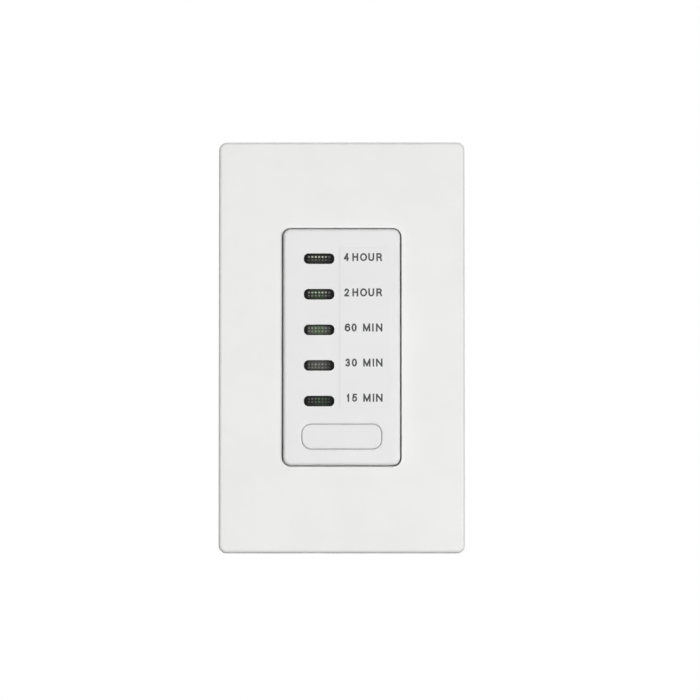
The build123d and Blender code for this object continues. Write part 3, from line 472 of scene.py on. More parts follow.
zinc = ((205, 206, 208), (176, 179, 184))
brass = ((214, 178, 104), (176, 138, 74))
bronze = ((214, 178, 104), (190, 138, 86))
nickel = ((206, 203, 196), (180, 176, 168))
iron = ((176, 176, 178), (140, 138, 136))
lid_tin = ((198, 198, 196), (176, 176, 174))
pin_tin = ((200, 200, 198), (178, 178, 176))
pin_gold = ((222, 196, 122), (202, 172, 100))
metals = {
    "mounting_yoke": plated("strap_zinc", *zinc, 0.26, patch=6.0),
    "box_screws": plated("box_screw_zinc", *zinc, 0.2, along_y, 2.0, 1.0, "box_screws"),
    "sub_plate_screws": plated(
        "plate_screw_zinc", *zinc, 0.2, along_y, 2.0, 1.0, "sub_plate_screws"
    ),
    "housing_screws": plated("housing_screw_zinc", *zinc, 0.22, along_y, 2.0, 1.0),
    "board_screws": plated("board_screw_zinc", *zinc, 0.22, along_y, 2.0, 1.0),
    "line_terminal": plated("line_brass", *brass, 0.24),
    "load_terminal": plated("load_brass", *brass, 0.24),
    "hot_terminal_screws": plated("hot_screw_brass", *brass, 0.2, along_x, 2.0),
    "neutral_terminal": plated("neutral_brass", *nickel, 0.24),
    "neutral_terminal_screw": plated("neutral_screw_nickel", *nickel, 0.18, along_x, 2.0),
    "terminal_clamps": plated("clamp_nickel", *nickel, 0.22),
    "header_pins": plated("pin_gold", *pin_gold, 0.2, along_y, 1.5, 1.0),
    "relay_pins": plated("relay_pin_tin", *pin_tin, 0.25, along_y, 1.5, 1.0),
    "relay_frame": plated("relay_frame_iron", *iron, 0.32),
    "relay_core": plated("relay_core_iron", *iron, 0.3, along_y),
    "relay_armature": plated("relay_armature_iron", *iron, 0.3),
    "relay_moving_contact": plated("moving_contact_bronze", *bronze, 0.22),
    "relay_fixed_contact": plated("fixed_contact_bronze", *bronze, 0.24),
    "relay_winding": plated("winding_enamelled", (202, 112, 56), (168, 84, 40), 0.22, patch=4.0),
    "button_springs": plated("spring_steel_wire", (190, 190, 192), (160, 160, 163), 0.2, patch=1.5),
    "tact_switch_body": plated("tact_tin_lid", *lid_tin, 0.26, (0.06, 1.0, 1.0), 2.0),
    "ground_screw": plated("ground_green_dye", (34, 98, 56), (24, 74, 42), 0.3, along_x, 1.5),
}
print("metal finishes:", len(metals))

# %% [markdown]
# ## Small parts inside
#
# The parts on the boards each have their own skin: a capacitor's shrink sleeve with a pale
# stripe, a resistor's coloured bands, a disc dipped in blue epoxy, black moulded chips, and green
# solder mask over copper. A stripe or a band is a soft step on one axis, placed from the box of
# the node itself.

# %% Sleeves, bands and dips
stripe_edge = (1.3 * mm, 1.1 * mm)
band_edge = (0.5 * mm, 0.38 * mm)
bare_end = (0.25 * mm, 0.1 * mm)
bare_aluminium = (196, 197, 198)
fleck_edges = (0.42, 0.62)


def middle_of(node):
    """The middle of a node's box, in metres."""
    low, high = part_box(node)
    return [(a + b) / 2 for a, b in zip(low, high)]


def striped_sleeve(name, sleeve, stripe, node):
    """A shrink sleeve with one pale stripe down its side and a bare aluminium end."""
    finish = Finish(name)
    x, y, z = finish.axes()
    x0, _, z0 = middle_of(node)
    end_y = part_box(node)[1].y
    band = finish.step((z - z0).absolute(), *stripe_edge) * (x - x0).above(0.0)
    end = finish.step(y, end_y - bare_end[0], end_y - bare_end[1])
    grain = finish.noise(0.8, 3.0)
    tone = finish.mixed(band, finish.clouded(grain, *sleeve), srgb(*stripe))
    tone = finish.mixed(end, tone, srgb(*bare_aluminium))
    return finish.coated(tone, 0.28 + grain * 0.12, finish.relief(grain, 6.0), end)


def banded(name, coat, bands, node):
    """A dipped resistor: coloured bands round its length."""
    finish = Finish(name)
    x, _, _ = finish.axes()
    middle = middle_of(node)[0]
    grain = finish.noise(0.5, 3.0)
    tone = finish.clouded(grain, *coat)
    for place, color in bands:
        band = finish.step((x - (middle + place * mm)).absolute(), *band_edge)
        tone = finish.mixed(band, tone, srgb(*color))
    return finish.coated(tone, 0.3 + grain * 0.15, finish.relief(grain, 8.0))


def dipped(name, color, darker, gloss, grain=0.6, depth=10.0):
    """A skin of resin or a fired body: tone and gloss wander, with low waves."""
    finish = Finish(name)
    waves = finish.noise(grain * 4.0, 2.0)
    skin = finish.noise(grain, 3.0)
    tone = finish.clouded(waves, color, darker)
    normal = finish.relief(skin, depth / 3.0, finish.relief(waves, depth))
    return finish.coated(tone, gloss + skin * 0.12, normal)


def pressed_fibre(name, color, fleck):
    """Pressed paper board: short fibres lying every way, some of them darker."""
    finish = Finish(name)
    fibres = finish.noise(0.25, 4.0, 0.7, finish.stretched((1.0, 1.0, 0.3)))
    cross = finish.noise(0.25, 4.0, 0.7, finish.stretched((0.3, 1.0, 1.0)))
    mat = fibres * 0.5 + cross * 0.5
    tone = finish.clouded(mat, color, fleck, fleck_edges)
    return finish.coated(tone, 0.8 + mat * 0.1, finish.relief(mat, 25.0))


board_patch = 6.5 * mm
share_across = 0.45
share_without_copper_pour = 0.86
lane_edge = 0.7
lane_strides = (0.37, 0.41)
copper_tint = 0.75
glass_weave = 0.09 * mm
mask_tones = ((20, 82, 44), (24, 94, 50))
track_green = (50, 128, 70)


def solder_masked(name, pitch, width):
    """A green board: copper tracks under the mask run across, up or spread out, patch by patch."""
    finish = Finish(name)
    x, _, z = finish.axes()
    tiling = {"Vector": finish.stretched((1.0, 0.0, 1.0)), "Scale": 1.0 / board_patch}
    patch = finish.node("ShaderNodeTexVoronoi", {"distance": "CHEBYCHEV"}, tiling, 1)
    chance, second_chance, _ = finish.axes(patch)
    spread = chance.above(share_without_copper_pour)
    left_out = second_chance * 1.6 - 1.0

    def lanes(place, stride):
        """Tracks one pitch apart, of which a sine wave of the lane's number keeps some."""
        lane = place / (pitch * mm)
        track = finish.step((lane - lane.whole()).absolute(), width, width * lane_edge)
        return track * (lane.whole() * stride).wave().above(left_out)

    across = chance.below(share_across) * lanes(z, lane_strides[0])
    upward = chance.above(share_across) * (1.0 - spread) * lanes(x, lane_strides[1])
    tracks = across + upward + spread
    weave = ((x / glass_weave).wave() * (z / glass_weave).wave()) * 0.5
    clouds = finish.noise(5.0, 2.0)
    mask = finish.clouded(clouds, *mask_tones)
    tone = finish.mixed(tracks * copper_tint, mask, srgb(*track_green))
    normal = finish.relief(tracks, 30.0, finish.relief(weave, 3.0))
    return finish.coated(tone, 0.3 + clouds * 0.12, normal, Coat_Weight=0.2)


sleeve_blues = ((30, 38, 66), (24, 30, 52))
resistor_coat = ((204, 180, 140), (190, 164, 124))
resistor_bands = (
    (-2.6, (150, 74, 32)),
    (-1.3, (28, 26, 26)),
    (0.0, (186, 52, 34)),
    (2.2, (196, 160, 70)),
)
small_parts = {
    "electrolytic_capacitor": striped_sleeve(
        "can_sleeve_blue", sleeve_blues, (206, 208, 212), "electrolytic_capacitor"
    ),
    "dropper_resistor": banded(
        "resistor_banded", resistor_coat, resistor_bands, "dropper_resistor"
    ),
    "surge_absorber": dipped("surge_blue", (46, 92, 170), (38, 80, 156), 0.25),
    "bridge_rectifier": dipped("bridge_black", (34, 34, 34), (42, 42, 42), 0.5, 0.2),
    "timer_chip": dipped("chip_black", (36, 36, 37), (44, 44, 45), 0.55, 0.15, 6.0),
    "chip_resistors": dipped("chip_resistor_black", (38, 38, 42), (50, 50, 54), 0.4, 0.1, 4.0),
    "indicator_leds": dipped("led_clear_green", (206, 226, 190), (190, 216, 170), 0.16, 0.3, 3.0),
    "screw_retainers": pressed_fibre("retainer_fibre", (176, 108, 84), (142, 78, 60)),
    "control_board": solder_masked("control_board_mask", 0.8, 0.2),
    "power_board": solder_masked("power_board_mask", 1.3, 0.27),
}
print("small parts:", len(small_parts))

# %% [markdown]
# ## Dark windows
#
# Each window is a smoked plastic lens with two rows of tiny moulded beads, and behind them sits a
# green light. In the photo every lens has a black rim, and in its middle the upper beads glint
# while the lower ones show dim grey or green. Those glints are painted highlights and the green is
# painted glow, both mixed into the lens colour. The grid is worked out from each window's own
# middle: the distance to the nearest bead's middle, across and up, makes a round soft spot of
# painted glint. Each lens has its own brightness of the painted glint in the rows, painted glow
# between the beads, height of the rows, place of the painted green glow, and two greens of painted
# glow: that on the beads and that in the smoke between them.

# %% Lens finish
bead_pitch_x = 0.96 * mm
bead_pitch_z = 0.9 * mm
grid_sides = (3.5 * mm, 3.0 * mm)
grid_ends = (1.3 * mm, 1.0 * mm)
spot_edge = (0.5, 0.16)
spot_squash = (1.4, 1.6)
# Painted glint: strongest a little left of the lens middle, falling to nothing at this reach.
bright_middle = -0.3 * mm
bright_reach = 3.8 * mm
bright_peak = 1.25
# Painted green glow of the light behind: full within the second reach, gone past the first.
green_glow_reach = (2.8 * mm, 0.6 * mm)
smoke_specular = 0.09
unlit_grey = (212, 212, 203)
lens_black = (5, 5, 5)


def lens_middle(node):
    """The middle of a lens, across and up."""
    x, _, z = middle_of(node)
    return x, z


def beaded_lens(name, node, rise, rows, glow_between_beads, green_glow_at, bead_glow_green, smoke_glow_green):
    """Painted glints on rows of beads under smoked plastic, fading with the square of the way from
    the middle, and painted green glow.
    """
    finish = Finish(name)
    x, _, z = finish.axes()
    x0, z0 = lens_middle(node)
    column = (x - x0) / bead_pitch_x
    row = (z - (z0 + rise * mm)) / bead_pitch_z
    near_x = (column - column.whole()).absolute()
    near_z = (row - 0.5 - (row - 0.5).whole()).absolute()
    reach = (near_x * near_x * spot_squash[0] + near_z * near_z * spot_squash[1]).root()
    bead_glint_spot = finish.step(reach, *spot_edge)
    inside = finish.step((x - x0).absolute(), *grid_sides)
    inside = inside * finish.step((z - z0).absolute(), *grid_ends)
    # Painted glint strength of the upper, lower and outer rows.
    upper, outer = row.above(0.0), row.absolute().above(1.0)
    strength = (1.0 - outer) * (upper * (rows[0] - rows[1]) + rows[1]) + outer * rows[2]
    wander = finish.noise(0.9, 3.0, 0.6)
    # Painted green glow of the light behind, mixed into both the lit and the dark tone.
    green_glow = finish.step((x - (x0 + green_glow_at * mm)).absolute(), *green_glow_reach)
    light = finish.mixed(green_glow, srgb(*unlit_grey), srgb(*bead_glow_green))
    dark = finish.mixed(green_glow, srgb(*lens_black), srgb(*smoke_glow_green))
    # Painted glints and painted glow between the beads, fading away from the middle.
    off_middle = (x - (x0 + bright_middle)) / bright_reach
    fade = bright_peak - off_middle * off_middle * bright_peak
    glow = inside * fade * (bead_glint_spot * strength * (wander * 1.8) + glow_between_beads * (wander + 0.5))
    tone = finish.mixed(glow, dark, light)
    skin = finish.noise(0.2, 2.0)
    normal = finish.relief(skin, 1.5)
    return finish.coated(tone, 0.14 + skin * 0.1, normal, Specular_IOR_Level=smoke_specular)


row_rise = {
    "lens_4_hour": 0.06,
    "lens_2_hour": 0.06,
    "lens_60_min": 0.06,
    "lens_30_min": -0.14,
    "lens_15_min": 0.2,
}
# Each look: painted glint of the upper, lower and outer rows, painted glow between the beads, place
# of the painted green glow, its green on the beads and in the smoke.
lens_looks = {
    "lens_4_hour": ((0.72, 0.14, 0.06), 0.02, -0.2, (209, 210, 194), (11, 13, 8)),
    "lens_2_hour": ((0.68, 0.27, 0.08), 0.025, -0.3, (194, 206, 186), (22, 36, 20)),
    "lens_60_min": ((0.3, 0.26, 0.14), 0.1, -0.2, (184, 202, 170), (22, 36, 18)),
    "lens_30_min": ((0.24, 0.16, 0.1), 0.085, 0.0, (210, 210, 202), (8, 8, 8)),
    "lens_15_min": ((0.18, 0.15, 0.06), 0.014, 0.7, (184, 200, 174), (16, 30, 16)),
}
lens_finishes = {
    node: beaded_lens(node.replace("lens", "lens_smoke_painted_glint"), node, row_rise[node], *look)
    for node, look in lens_looks.items()
}
print("lenses:", len(lens_finishes))

# %% [markdown]
# ## The label
#
# The legend is printed on a thin white film, stuck on the insert beside the windows. It is a
# touch brighter and smoother than the plastic, so only its cut edge gives it away: a soft grey line
# of painted shade runs just inside that edge, most of it on the left.

# %% Label film
label_edge_width = 0.3 * mm
faint_share = 0.3


def printed_film(name, color, cloudy, painted_shade):
    """Smooth film with a soft line of painted shade inside its edge."""
    finish = Finish(name)
    x, _, z = finish.axes()
    x0, _, z0 = middle_of("legend_label")
    low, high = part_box("legend_label")
    half_x, half_z = (high.x - low.x) / 2, (high.z - low.z) / 2
    # Painted shade along the cut edge: full on the left, fainter on the other sides.
    left = finish.step(x0 - x, half_x - label_edge_width, half_x)
    side = finish.step((x - x0).absolute(), half_x - label_edge_width, half_x)
    end = finish.step((z - z0).absolute(), half_z - label_edge_width, half_z)
    edge_shade_mask = left.greater(side.greater(end) * faint_share)
    clouds = finish.noise(20.0, 3.0)
    grain = finish.noise(0.5, 3.0)
    film = finish.clouded(clouds, color, cloudy)
    tone = finish.mixed(edge_shade_mask * (grain * 0.6 + 0.3), film, srgb(*painted_shade))
    normal = finish.relief(grain, 1.5)
    return finish.coated(tone, 0.4 + grain * 0.08, normal, Specular_IOR_Level=plastic_specular)


# The third tone is the grey of the painted shade along the film's edge.
film_tones = ((228, 228, 228), (230, 230, 230), (206, 206, 206))
label_finish = printed_film("label_film_white", *film_tones)
finishes = {**plastics, **metals, **small_parts, **lens_finishes, "legend_label": label_finish}
for name, node in nodes.items():
    material = finishes[name]
    if node.data.materials:
        for place in range(len(node.data.materials)):
            node.data.materials[place] = material
    else:
        node.data.materials.append(material)
print("nodes with a finish:", len(finishes))

# %% [markdown]
# ## Surfaces from a grid
#
# The new pieces are grids of points: rows run along a path, columns run round it. The functions
# below take one grid or many alike, make quads between neighbours, merge the points that meet at
# a pole, close what a cut left open and turn every face outwards. A sharp angle keeps its edge
# and the rest is shaded smoothly.

# %% Make a piece from grids
smooth_angle = math.radians(35.0)
merge_distance = 0.0005 * mm


def quads_of(grid, wrap_rows, wrap_columns):
    """Four point numbers for each face between neighbours of one or many grids."""
    if wrap_rows:
        grid = np.concatenate([grid, grid[:, :1]], axis=1)
    if wrap_columns:
        grid = np.concatenate([grid, grid[:, :, :1]], axis=2)
    corners = (grid[:, :-1, :-1], grid[:, 1:, :-1], grid[:, 1:, 1:], grid[:, :-1, 1:])
    return np.stack(corners, axis=-1).reshape(-1, 4)


def finished_piece(name, points, faces, body, slot, material):
    """Put points and faces in a mesh, clean it, and let it ride on a body."""
    mesh = bpy.data.meshes.new(name)
    mesh.from_pydata(points.tolist(), [], faces)
    work = bmesh.new()
    work.from_mesh(mesh)
    bmesh.ops.remove_doubles(work, verts=work.verts, dist=merge_distance)
    bmesh.ops.dissolve_degenerate(work, edges=work.edges, dist=merge_distance)
    bmesh.ops.holes_fill(work, edges=[edge for edge in work.edges if edge.is_boundary])
    bmesh.ops.recalc_face_normals(work, faces=work.faces)
    work.to_mesh(mesh)
    work.free()
    mesh.polygons.foreach_set("use_smooth", [True] * len(mesh.polygons))
    mesh.set_sharp_from_angle(angle=smooth_angle)
    mesh.materials.append(material)
    piece = bpy.data.objects.new(name, mesh)
    bpy.context.collection.objects.link(piece)
    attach(piece, body)
    print(name, "has", len(mesh.polygons), "faces")
    return piece


def grid_points(grids, wrap_rows=False, wrap_columns=True):
    """Points and faces of an array of grids: count, rows, columns, 3."""
    numbers = np.arange(grids.shape[0] * grids.shape[1] * grids.shape[2]).reshape(grids.shape[:3])
    return grids.reshape(-1, 3), quads_of(numbers, wrap_rows, wrap_columns).tolist()


def capped(grids):
    """Close both ends of each grid with a pole in the middle of its end row."""
    first = np.repeat(grids[:, :1].mean(axis=2, keepdims=True), grids.shape[2], axis=2)
    last = np.repeat(grids[:, -1:].mean(axis=2, keepdims=True), grids.shape[2], axis=2)
    return np.concatenate([first, grids, last], axis=1)


def joined(parts):
    """Several sets of points and faces as one."""
    points, faces, start = [], [], 0
    for part_points, part_faces in parts:
        points.append(part_points)
        faces += [[index + start for index in face] for face in part_faces]
        start += len(part_points)
    return np.concatenate(points), faces


print("grids become pieces")

# %% [markdown]
# ## The printed legend
#
# The words are thin, evenly drawn capitals. They are built as strokes: every stroke is a straight
# line or a smooth bend in a box one unit high, and a flat ribbon runs along it. Each ribbon is
# drawn half its width past both ends and then kept within the letter's box, so the letters end
# square, as in print. Text objects would bring another typeface; strokes let each letter take the
# width that the photo shows. The ribbons stand a fiftieth of a millimetre off the film, as thick
# as printing ink.

# %% Letters as strokes
def line(*points):
    """A straight stroke between two points."""
    return np.array(points, float)


def bend(middle_x, middle_y, radius_x, radius_y, start, end, steps=28):
    """Part of an ellipse: x and y follow the cosine and sine of an angle in degrees."""
    angles = np.radians(np.linspace(start, end, steps))
    across, up = middle_x + radius_x * np.cos(angles), middle_y + radius_y * np.sin(angles)
    return np.stack([across, up], axis=1)


def run(*pieces):
    """Points and bends joined end to end as one stroke."""
    return np.concatenate([np.atleast_2d(np.array(piece, float)) for piece in pieces])


letters = {
    "4": (
        line((0.76, 0.0), (0.76, 1.0)),
        line((0.76, 1.0), (0.0, 0.27)),
        line((0.0, 0.27), (1.0, 0.27)),
    ),
    "2": (
        run(bend(0.5, 0.72, 0.48, 0.28, 170, -28), (0.62, 0.38), (0.18, 0.14), (0.0, 0.0)),
        line((0.0, 0.0), (1.0, 0.0)),
    ),
    "6": (bend(0.5, 0.32, 0.5, 0.32, 0, 360, 44), bend(0.56, 0.55, 0.55, 0.45, 40, 190)),
    "0": (bend(0.5, 0.5, 0.5, 0.5, 0, 360, 48),),
    "3": (bend(0.46, 0.74, 0.42, 0.26, 155, -80), bend(0.46, 0.26, 0.5, 0.26, 85, -160)),
    "1": (line((1.0, 0.0), (1.0, 1.0)), bend(0.2, 1.06, 0.78, 0.3, -8, -85)),
    "5": (
        line((0.92, 1.0), (0.22, 1.0)),
        line((0.22, 1.0), (0.1, 0.48)),
        bend(0.47, 0.32, 0.5, 0.32, 142, -160),
    ),
    "H": (
        line((0.0, 0.0), (0.0, 1.0)),
        line((1.0, 0.0), (1.0, 1.0)),
        line((0.0, 0.53), (1.0, 0.53)),
    ),
    "O": (bend(0.5, 0.5, 0.5, 0.5, 0, 360, 48),),
    "U": (run((0.0, 1.0), bend(0.5, 0.34, 0.5, 0.34, 180, 360), (1.0, 1.0)),),
    "R": (
        line((0.0, 0.0), (0.0, 1.0)),
        run((0.0, 1.0), bend(0.62, 0.74, 0.32, 0.26, 90, -90), (0.0, 0.48)),
        run(bend(0.5, 0.2, 0.38, 0.28, 80, 20), (1.0, 0.0)),
    ),
    "M": (
        line((0.0, 0.0), (0.0, 1.0)),
        line((0.0, 1.0), (0.5, 0.04)),
        line((0.5, 0.04), (1.0, 1.0)),
        line((1.0, 1.0), (1.0, 0.0)),
    ),
    "I": (line((0.5, 0.0), (0.5, 1.0)),),
    "N": (
        line((0.0, 0.0), (0.0, 1.0)),
        line((0.0, 1.0), (1.0, 0.0)),
        line((1.0, 0.0), (1.0, 1.0)),
    ),
}
print("letters:", "".join(sorted(letters)))

# %% [markdown]
# Each row below gives the height of its baseline, its letters, and then the left and right edge
# of every letter in turn. They are millimetres from the middle of the device, as a draughtsman
# would dimension the artwork of the label.

# %% Set the rows of the legend
hour_edges = (3.01, 4.66, 5.17, 7.16, 7.50, 9.17, 9.75, 11.38)
legend_rows = (
    (24.20, "4HOUR", (0.60, 2.02, *hour_edges)),
    (14.22, "2HOUR", (0.74, 2.10, *hour_edges)),
    (4.31, "60MIN", (0.86, 2.40, 2.77, 4.22, 6.00, 8.04, 8.59, 9.01, 9.66, 11.48)),
    (-5.59, "30MIN", (1.04, 2.40, 2.84, 4.31, 6.06, 8.12, 8.72, 9.14, 9.66, 11.50)),
    (-15.51, "15MIN", (1.34, 2.12, 2.90, 4.38, 6.09, 8.15, 8.75, 9.17, 9.66, 11.52)),
)
cap_height = 2.28
stroke_width = 0.45
ink_greys = ((40, 40, 42), (52, 52, 54))
ink_thickness = 0.02
ink_step = 0.0006
ink_levels = 8
ribbon_stations = 48
heading_reach = 0.03


def ribbon(path, low, high, front, back):
    """A flat strip along a path, half its width longer at both ends, kept within a letter's box."""
    steps = np.linalg.norm(np.diff(path, axis=0), axis=1)
    reach = np.concatenate([[0.0], np.cumsum(steps)])
    half = stroke_width / 2
    stations = np.linspace(-half, reach[-1] + half, ribbon_stations)
    along = np.clip(stations, 0.0, reach[-1])
    spots, ahead, behind = [
        np.stack([np.interp(along + shift, reach, path[:, axis]) for axis in (0, 1)], axis=1)
        for shift in (0.0, heading_reach, -heading_reach)
    ]
    heading = (ahead - behind) / np.linalg.norm(ahead - behind, axis=1)[:, None]
    spots = spots + heading * (stations - along)[:, None]
    side = np.stack([-heading[:, 1], heading[:, 0]], axis=1)
    left, right = [np.clip(spots + turn * half * side, low, high) for turn in (-1, 1)]
    corners = [(left, back), (left, front), (right, front), (right, back)]
    rows = [
        np.stack([edge[:, 0], np.full(len(edge), depth), edge[:, 1]], axis=1)
        for edge, depth in corners
    ]
    return np.stack(rows, axis=1)


label_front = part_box("legend_label")[0].y / mm
inset = stroke_width / 2
strokes = []
for baseline, word, edges in legend_rows:
    for letter, left, right in zip(word, edges[::2], edges[1::2]):
        low, high = np.array((left, baseline)), np.array((right, baseline + cap_height))
        for path in letters[letter]:
            placed = low + inset + path * (high - low - 2 * inset)
            front = label_front - ink_thickness - ink_step * (len(strokes) % ink_levels)
            strip = ribbon(placed, low, high, front, label_front + ink_step)
            strokes.append(grid_points(capped(strip[None]) * mm))
ink = Finish("legend_ink")
ink_grain = ink.noise(0.12, 3.0)
ink_tone = ink.clouded(ink_grain, *ink_greys)
ink_finish = ink.coated(ink_tone, 0.45 + ink_grain * 0.15, ink.relief(ink_grain, 3.0))
finished_piece("legend_print", *joined(strokes), "device", "label_film", ink_finish)

# %% [markdown]
# ## Screw threads
#
# The solids draw a screw as a head on a plain bar. A real screw's thread is what the eye looks
# for on the two long box screws that stand out behind. The heads stay as the solids have them:
# their faces are copied. Each bar is made anew as a grid whose radius falls from the crest by a
# triangle wave of the distance along the screw less the turn round it, which is what makes a wave
# into a thread.

# %% Threads and copied heads
thread_pitch = 25.4 / 32
thread_depth = 0.42
thread_columns = 36
samples_per_turn = 10
thread_run_out = 0.8
tip_chamfer = 0.6
head_overlap = 0.1
screw_radius = 1.75
flank_slope = 1.3
crest_flat = 0.15
touch = 0.01


def threaded_bar(start, tip):
    """A right-handed thread between two points: the screw's radius less depth times flank."""
    start, tip = np.array(start, float), np.array(tip, float)
    length = np.linalg.norm(tip - start)
    heading = (tip - start) / length
    up = np.array([0.0, 0.0, 1.0])
    across = np.cross(up, heading)
    along = np.linspace(0.0, length, int(length / thread_pitch * samples_per_turn))[:, None]
    turn = np.linspace(0.0, 2 * math.pi, thread_columns, endpoint=False)[None, :]
    phase = (along / thread_pitch - turn / (2 * math.pi)) % 1.0
    flank = np.clip(np.abs(phase * 2.0 - 1.0) * flank_slope - crest_flat, 0.0, 1.0)
    begun = np.clip((along - head_overlap) / thread_run_out, 0.0, 1.0)
    chamfer = screw_radius - np.clip(tip_chamfer - (length - along), 0.0, tip_chamfer)
    reach = np.minimum(screw_radius - thread_depth * flank * begun, chamfer)
    round_it = np.cos(turn)[..., None] * across + np.sin(turn)[..., None] * up
    spots = start + along[..., None] * heading + reach[..., None] * round_it
    return grid_points(capped(spots[None]) * mm)


def copied_faces(node, axis, keep_from, keep_to):
    """Triangles of a node with all corners between two places on one axis, in millimetres."""
    mesh = nodes[node].data
    spots = np.empty(len(mesh.vertices) * 3, np.float32)
    mesh.vertices.foreach_get("co", spots)
    spots = spots.reshape(-1, 3).astype(float)
    corners = np.empty(len(mesh.loops), np.int32)
    mesh.loops.foreach_get("vertex_index", corners)
    corners = corners.reshape(-1, 3)
    place = spots[corners][:, :, axis] / mm
    kept = ((place >= keep_from) & (place <= keep_to)).all(axis=1)
    return spots, corners[kept].tolist()


def screws_along_y(name, node):
    """Two screws that point into the wall: copied heads, and a threaded bar on each."""
    low, high = [np.array(corner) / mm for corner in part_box(node)]
    neck_end = neck_ends[node]
    head_radius = (high[0] - low[0]) / 2
    parts = [copied_faces(node, 1, low[1] - 1.0, neck_end + touch)]
    for z in (low[2] + head_radius, high[2] - head_radius):
        parts.append(threaded_bar((0.0, neck_end - head_overlap, z), (0.0, high[1], z)))
    screws = finished_piece(name, *joined(parts), "device", "screw_steel", metals[node])
    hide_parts(node)


screws_along_y("box_screws_threaded", "box_screws")
screws_along_y("plate_screws_threaded", "sub_plate_screws")

ground_seat = 17.0
ground_low, ground_high = [np.array(corner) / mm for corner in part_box("ground_screw")]
_, ground_y, ground_z = (ground_low + ground_high) / 2
ground_start = (ground_seat + head_overlap, ground_y, ground_z)
ground_parts = [
    copied_faces("ground_screw", 0, ground_seat - touch, ground_high[0] + 1.0),
    threaded_bar(ground_start, (ground_low[0], ground_y, ground_z)),
]
ground = finished_piece(
    "ground_screw_threaded", *joined(ground_parts), "device", "ground_green", metals["ground_screw"]
)
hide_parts("ground_screw")

# %% [markdown]
# ## Springs and winding
#
# The button is returned by two coil springs, and the relay works by a winding of enamelled wire.
# The solids have plain sleeves there. A spring is a small circle carried along a helix, which
# closes up towards its ends as a ground spring does. The winding is a ring whose outside rises
# and falls once for each turn of wire.

# %% Wind the springs
spring_turns = 7
samples_per_coil = 24
wire_sides = 10
spring_wire_radius = 0.15
spring_closing = 0.36
into_wall = np.array([0.0, 1.0, 0.0])
spring_low, spring_high = [np.array(corner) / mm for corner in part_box("button_springs")]
spring_radius = (spring_high[2] - spring_low[2]) / 2 - spring_wire_radius
spring_z = (spring_high[2] + spring_low[2]) / 2


def spring(x):
    """A wire carried along a helix: the rise per turn falls by a sine wave towards both ends."""
    share = np.linspace(0.0, 1.0, spring_turns * samples_per_coil + 1)
    angle = 2 * math.pi * spring_turns * share
    free = spring_high[1] - spring_low[1] - 2 * spring_wire_radius
    rise = free * (share - spring_closing * np.sin(2 * math.pi * share) / (2 * math.pi))
    outward = np.stack([np.cos(angle), np.zeros_like(angle), np.sin(angle)], axis=1)
    middle = np.array([x, spring_low[1] + spring_wire_radius, spring_z])
    path = middle + outward * spring_radius + rise[:, None] * into_wall
    turn = np.linspace(0.0, 2 * math.pi, wire_sides, endpoint=False)[None, :, None]
    section = np.cos(turn) * outward[:, None, :] + np.sin(turn) * into_wall
    return grid_points(capped((path[:, None, :] + section * spring_wire_radius)[None]) * mm)


spring_x = spring_high[0] - spring_radius - spring_wire_radius
coils = joined([spring(-spring_x), spring(spring_x)])
springs = finished_piece(
    "button_spring_coils", *coils, "device", "spring_steel", metals["button_springs"]
)
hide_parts("button_springs")
press = [joint for joint in frame["joints"] if joint["name"] == "button_press"][0]
travel = max(abs(value) for value in press["range_m"]) / mm
kept_length = 1.0 - travel / (spring_high[1] - spring_low[1])
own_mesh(springs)
print("springs keep", round(kept_length, 3), "of their length")

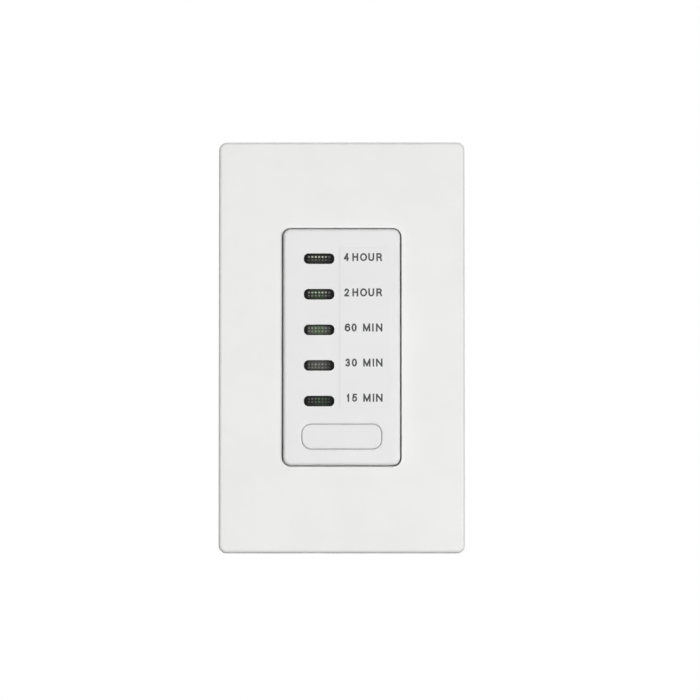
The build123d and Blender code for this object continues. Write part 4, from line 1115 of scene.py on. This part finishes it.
# %% Wind the relay
wire_pitch = 0.28
wire_height = 0.07
winding_bore = 2.5
winding_rows = 190
winding_columns = 72
wind_low, wind_high = [np.array(corner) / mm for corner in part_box("relay_winding")]
wind_x, wind_z = (wind_low[0] + wind_high[0]) / 2, (wind_low[2] + wind_high[2]) / 2
wind_radius = (wind_high[0] - wind_low[0]) / 2
wind_along = np.linspace(wind_low[1], wind_high[1], winding_rows)
wind_rib = np.abs(np.sin(math.pi * (wind_along - wind_low[1]) / wire_pitch))
wind_profile = np.concatenate(
    [
        [(winding_bore, wind_low[1])],
        np.stack([wind_radius - wire_height + wire_height * wind_rib, wind_along], axis=1),
        [(winding_bore, wind_high[1])],
    ]
)
wind_turn = np.linspace(0.0, 2 * math.pi, winding_columns, endpoint=False)[None, :]
wind_spots = np.stack(
    [
        wind_x + wind_profile[:, :1] * np.cos(wind_turn),
        np.repeat(wind_profile[:, 1:], winding_columns, axis=1),
        wind_z + wind_profile[:, :1] * np.sin(wind_turn),
    ],
    axis=-1,
)
wind_surface = grid_points(wind_spots[None] * mm, wrap_rows=True)
winding = finished_piece(
    "relay_wire_turns", *wind_surface, "device", "winding_copper", metals["relay_winding"]
)
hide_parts("relay_winding")

# %% [markdown]
# ## Beads on the lenses
#
# The grid in each window is moulded into the lens as low round beads, which bend the light of the
# lamp behind. One bead is a small cap, four hundredths of a millimetre proud, whose height falls
# with the square of the distance from its middle, and its flat back lies just inside the lens.
# The same grid of points is set down at every place of the pattern, so the relief and the painted
# glints agree.

# %% Set the beads
bead_radius = 0.38
bead_height = 0.06
bead_root = 0.02
bead_columns = np.arange(-3, 4)
bead_rows = np.array([-0.5, 0.5])
bead_sides = 14
bead_round = np.linspace(0.0, 2 * math.pi, bead_sides, endpoint=False)[None, :]
bead_reach = np.array([0.0, 0.25, 0.5, 0.75, 0.92, 1.0, 0.0])[:, None]
bead_depth = np.concatenate([-bead_height * (1.0 - bead_reach[:-1] ** 2), [[0.0]]]) + bead_root
bead_cap = np.stack(
    [
        bead_radius * bead_reach * np.cos(bead_round),
        np.broadcast_to(bead_depth, (len(bead_reach), bead_sides)),
        bead_radius * bead_reach * np.sin(bead_round),
    ],
    axis=-1,
)
for node, rise in row_rise.items():
    x0, z0 = [value / mm for value in lens_middle(node)]
    spots_x, spots_z = np.meshgrid(bead_columns * bead_pitch_x / mm, bead_rows * bead_pitch_z / mm)
    depths = np.full(spots_x.size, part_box(node)[0].y / mm)
    middles = np.stack([x0 + spots_x.ravel(), depths, z0 + rise + spots_z.ravel()], axis=1)
    caps = grid_points((bead_cap[None] + middles[:, None, None, :]) * mm)
    name = node.replace("lens", "lens_beads")
    finished_piece(name, *caps, "device", "lens_plastic", lens_finishes[node])
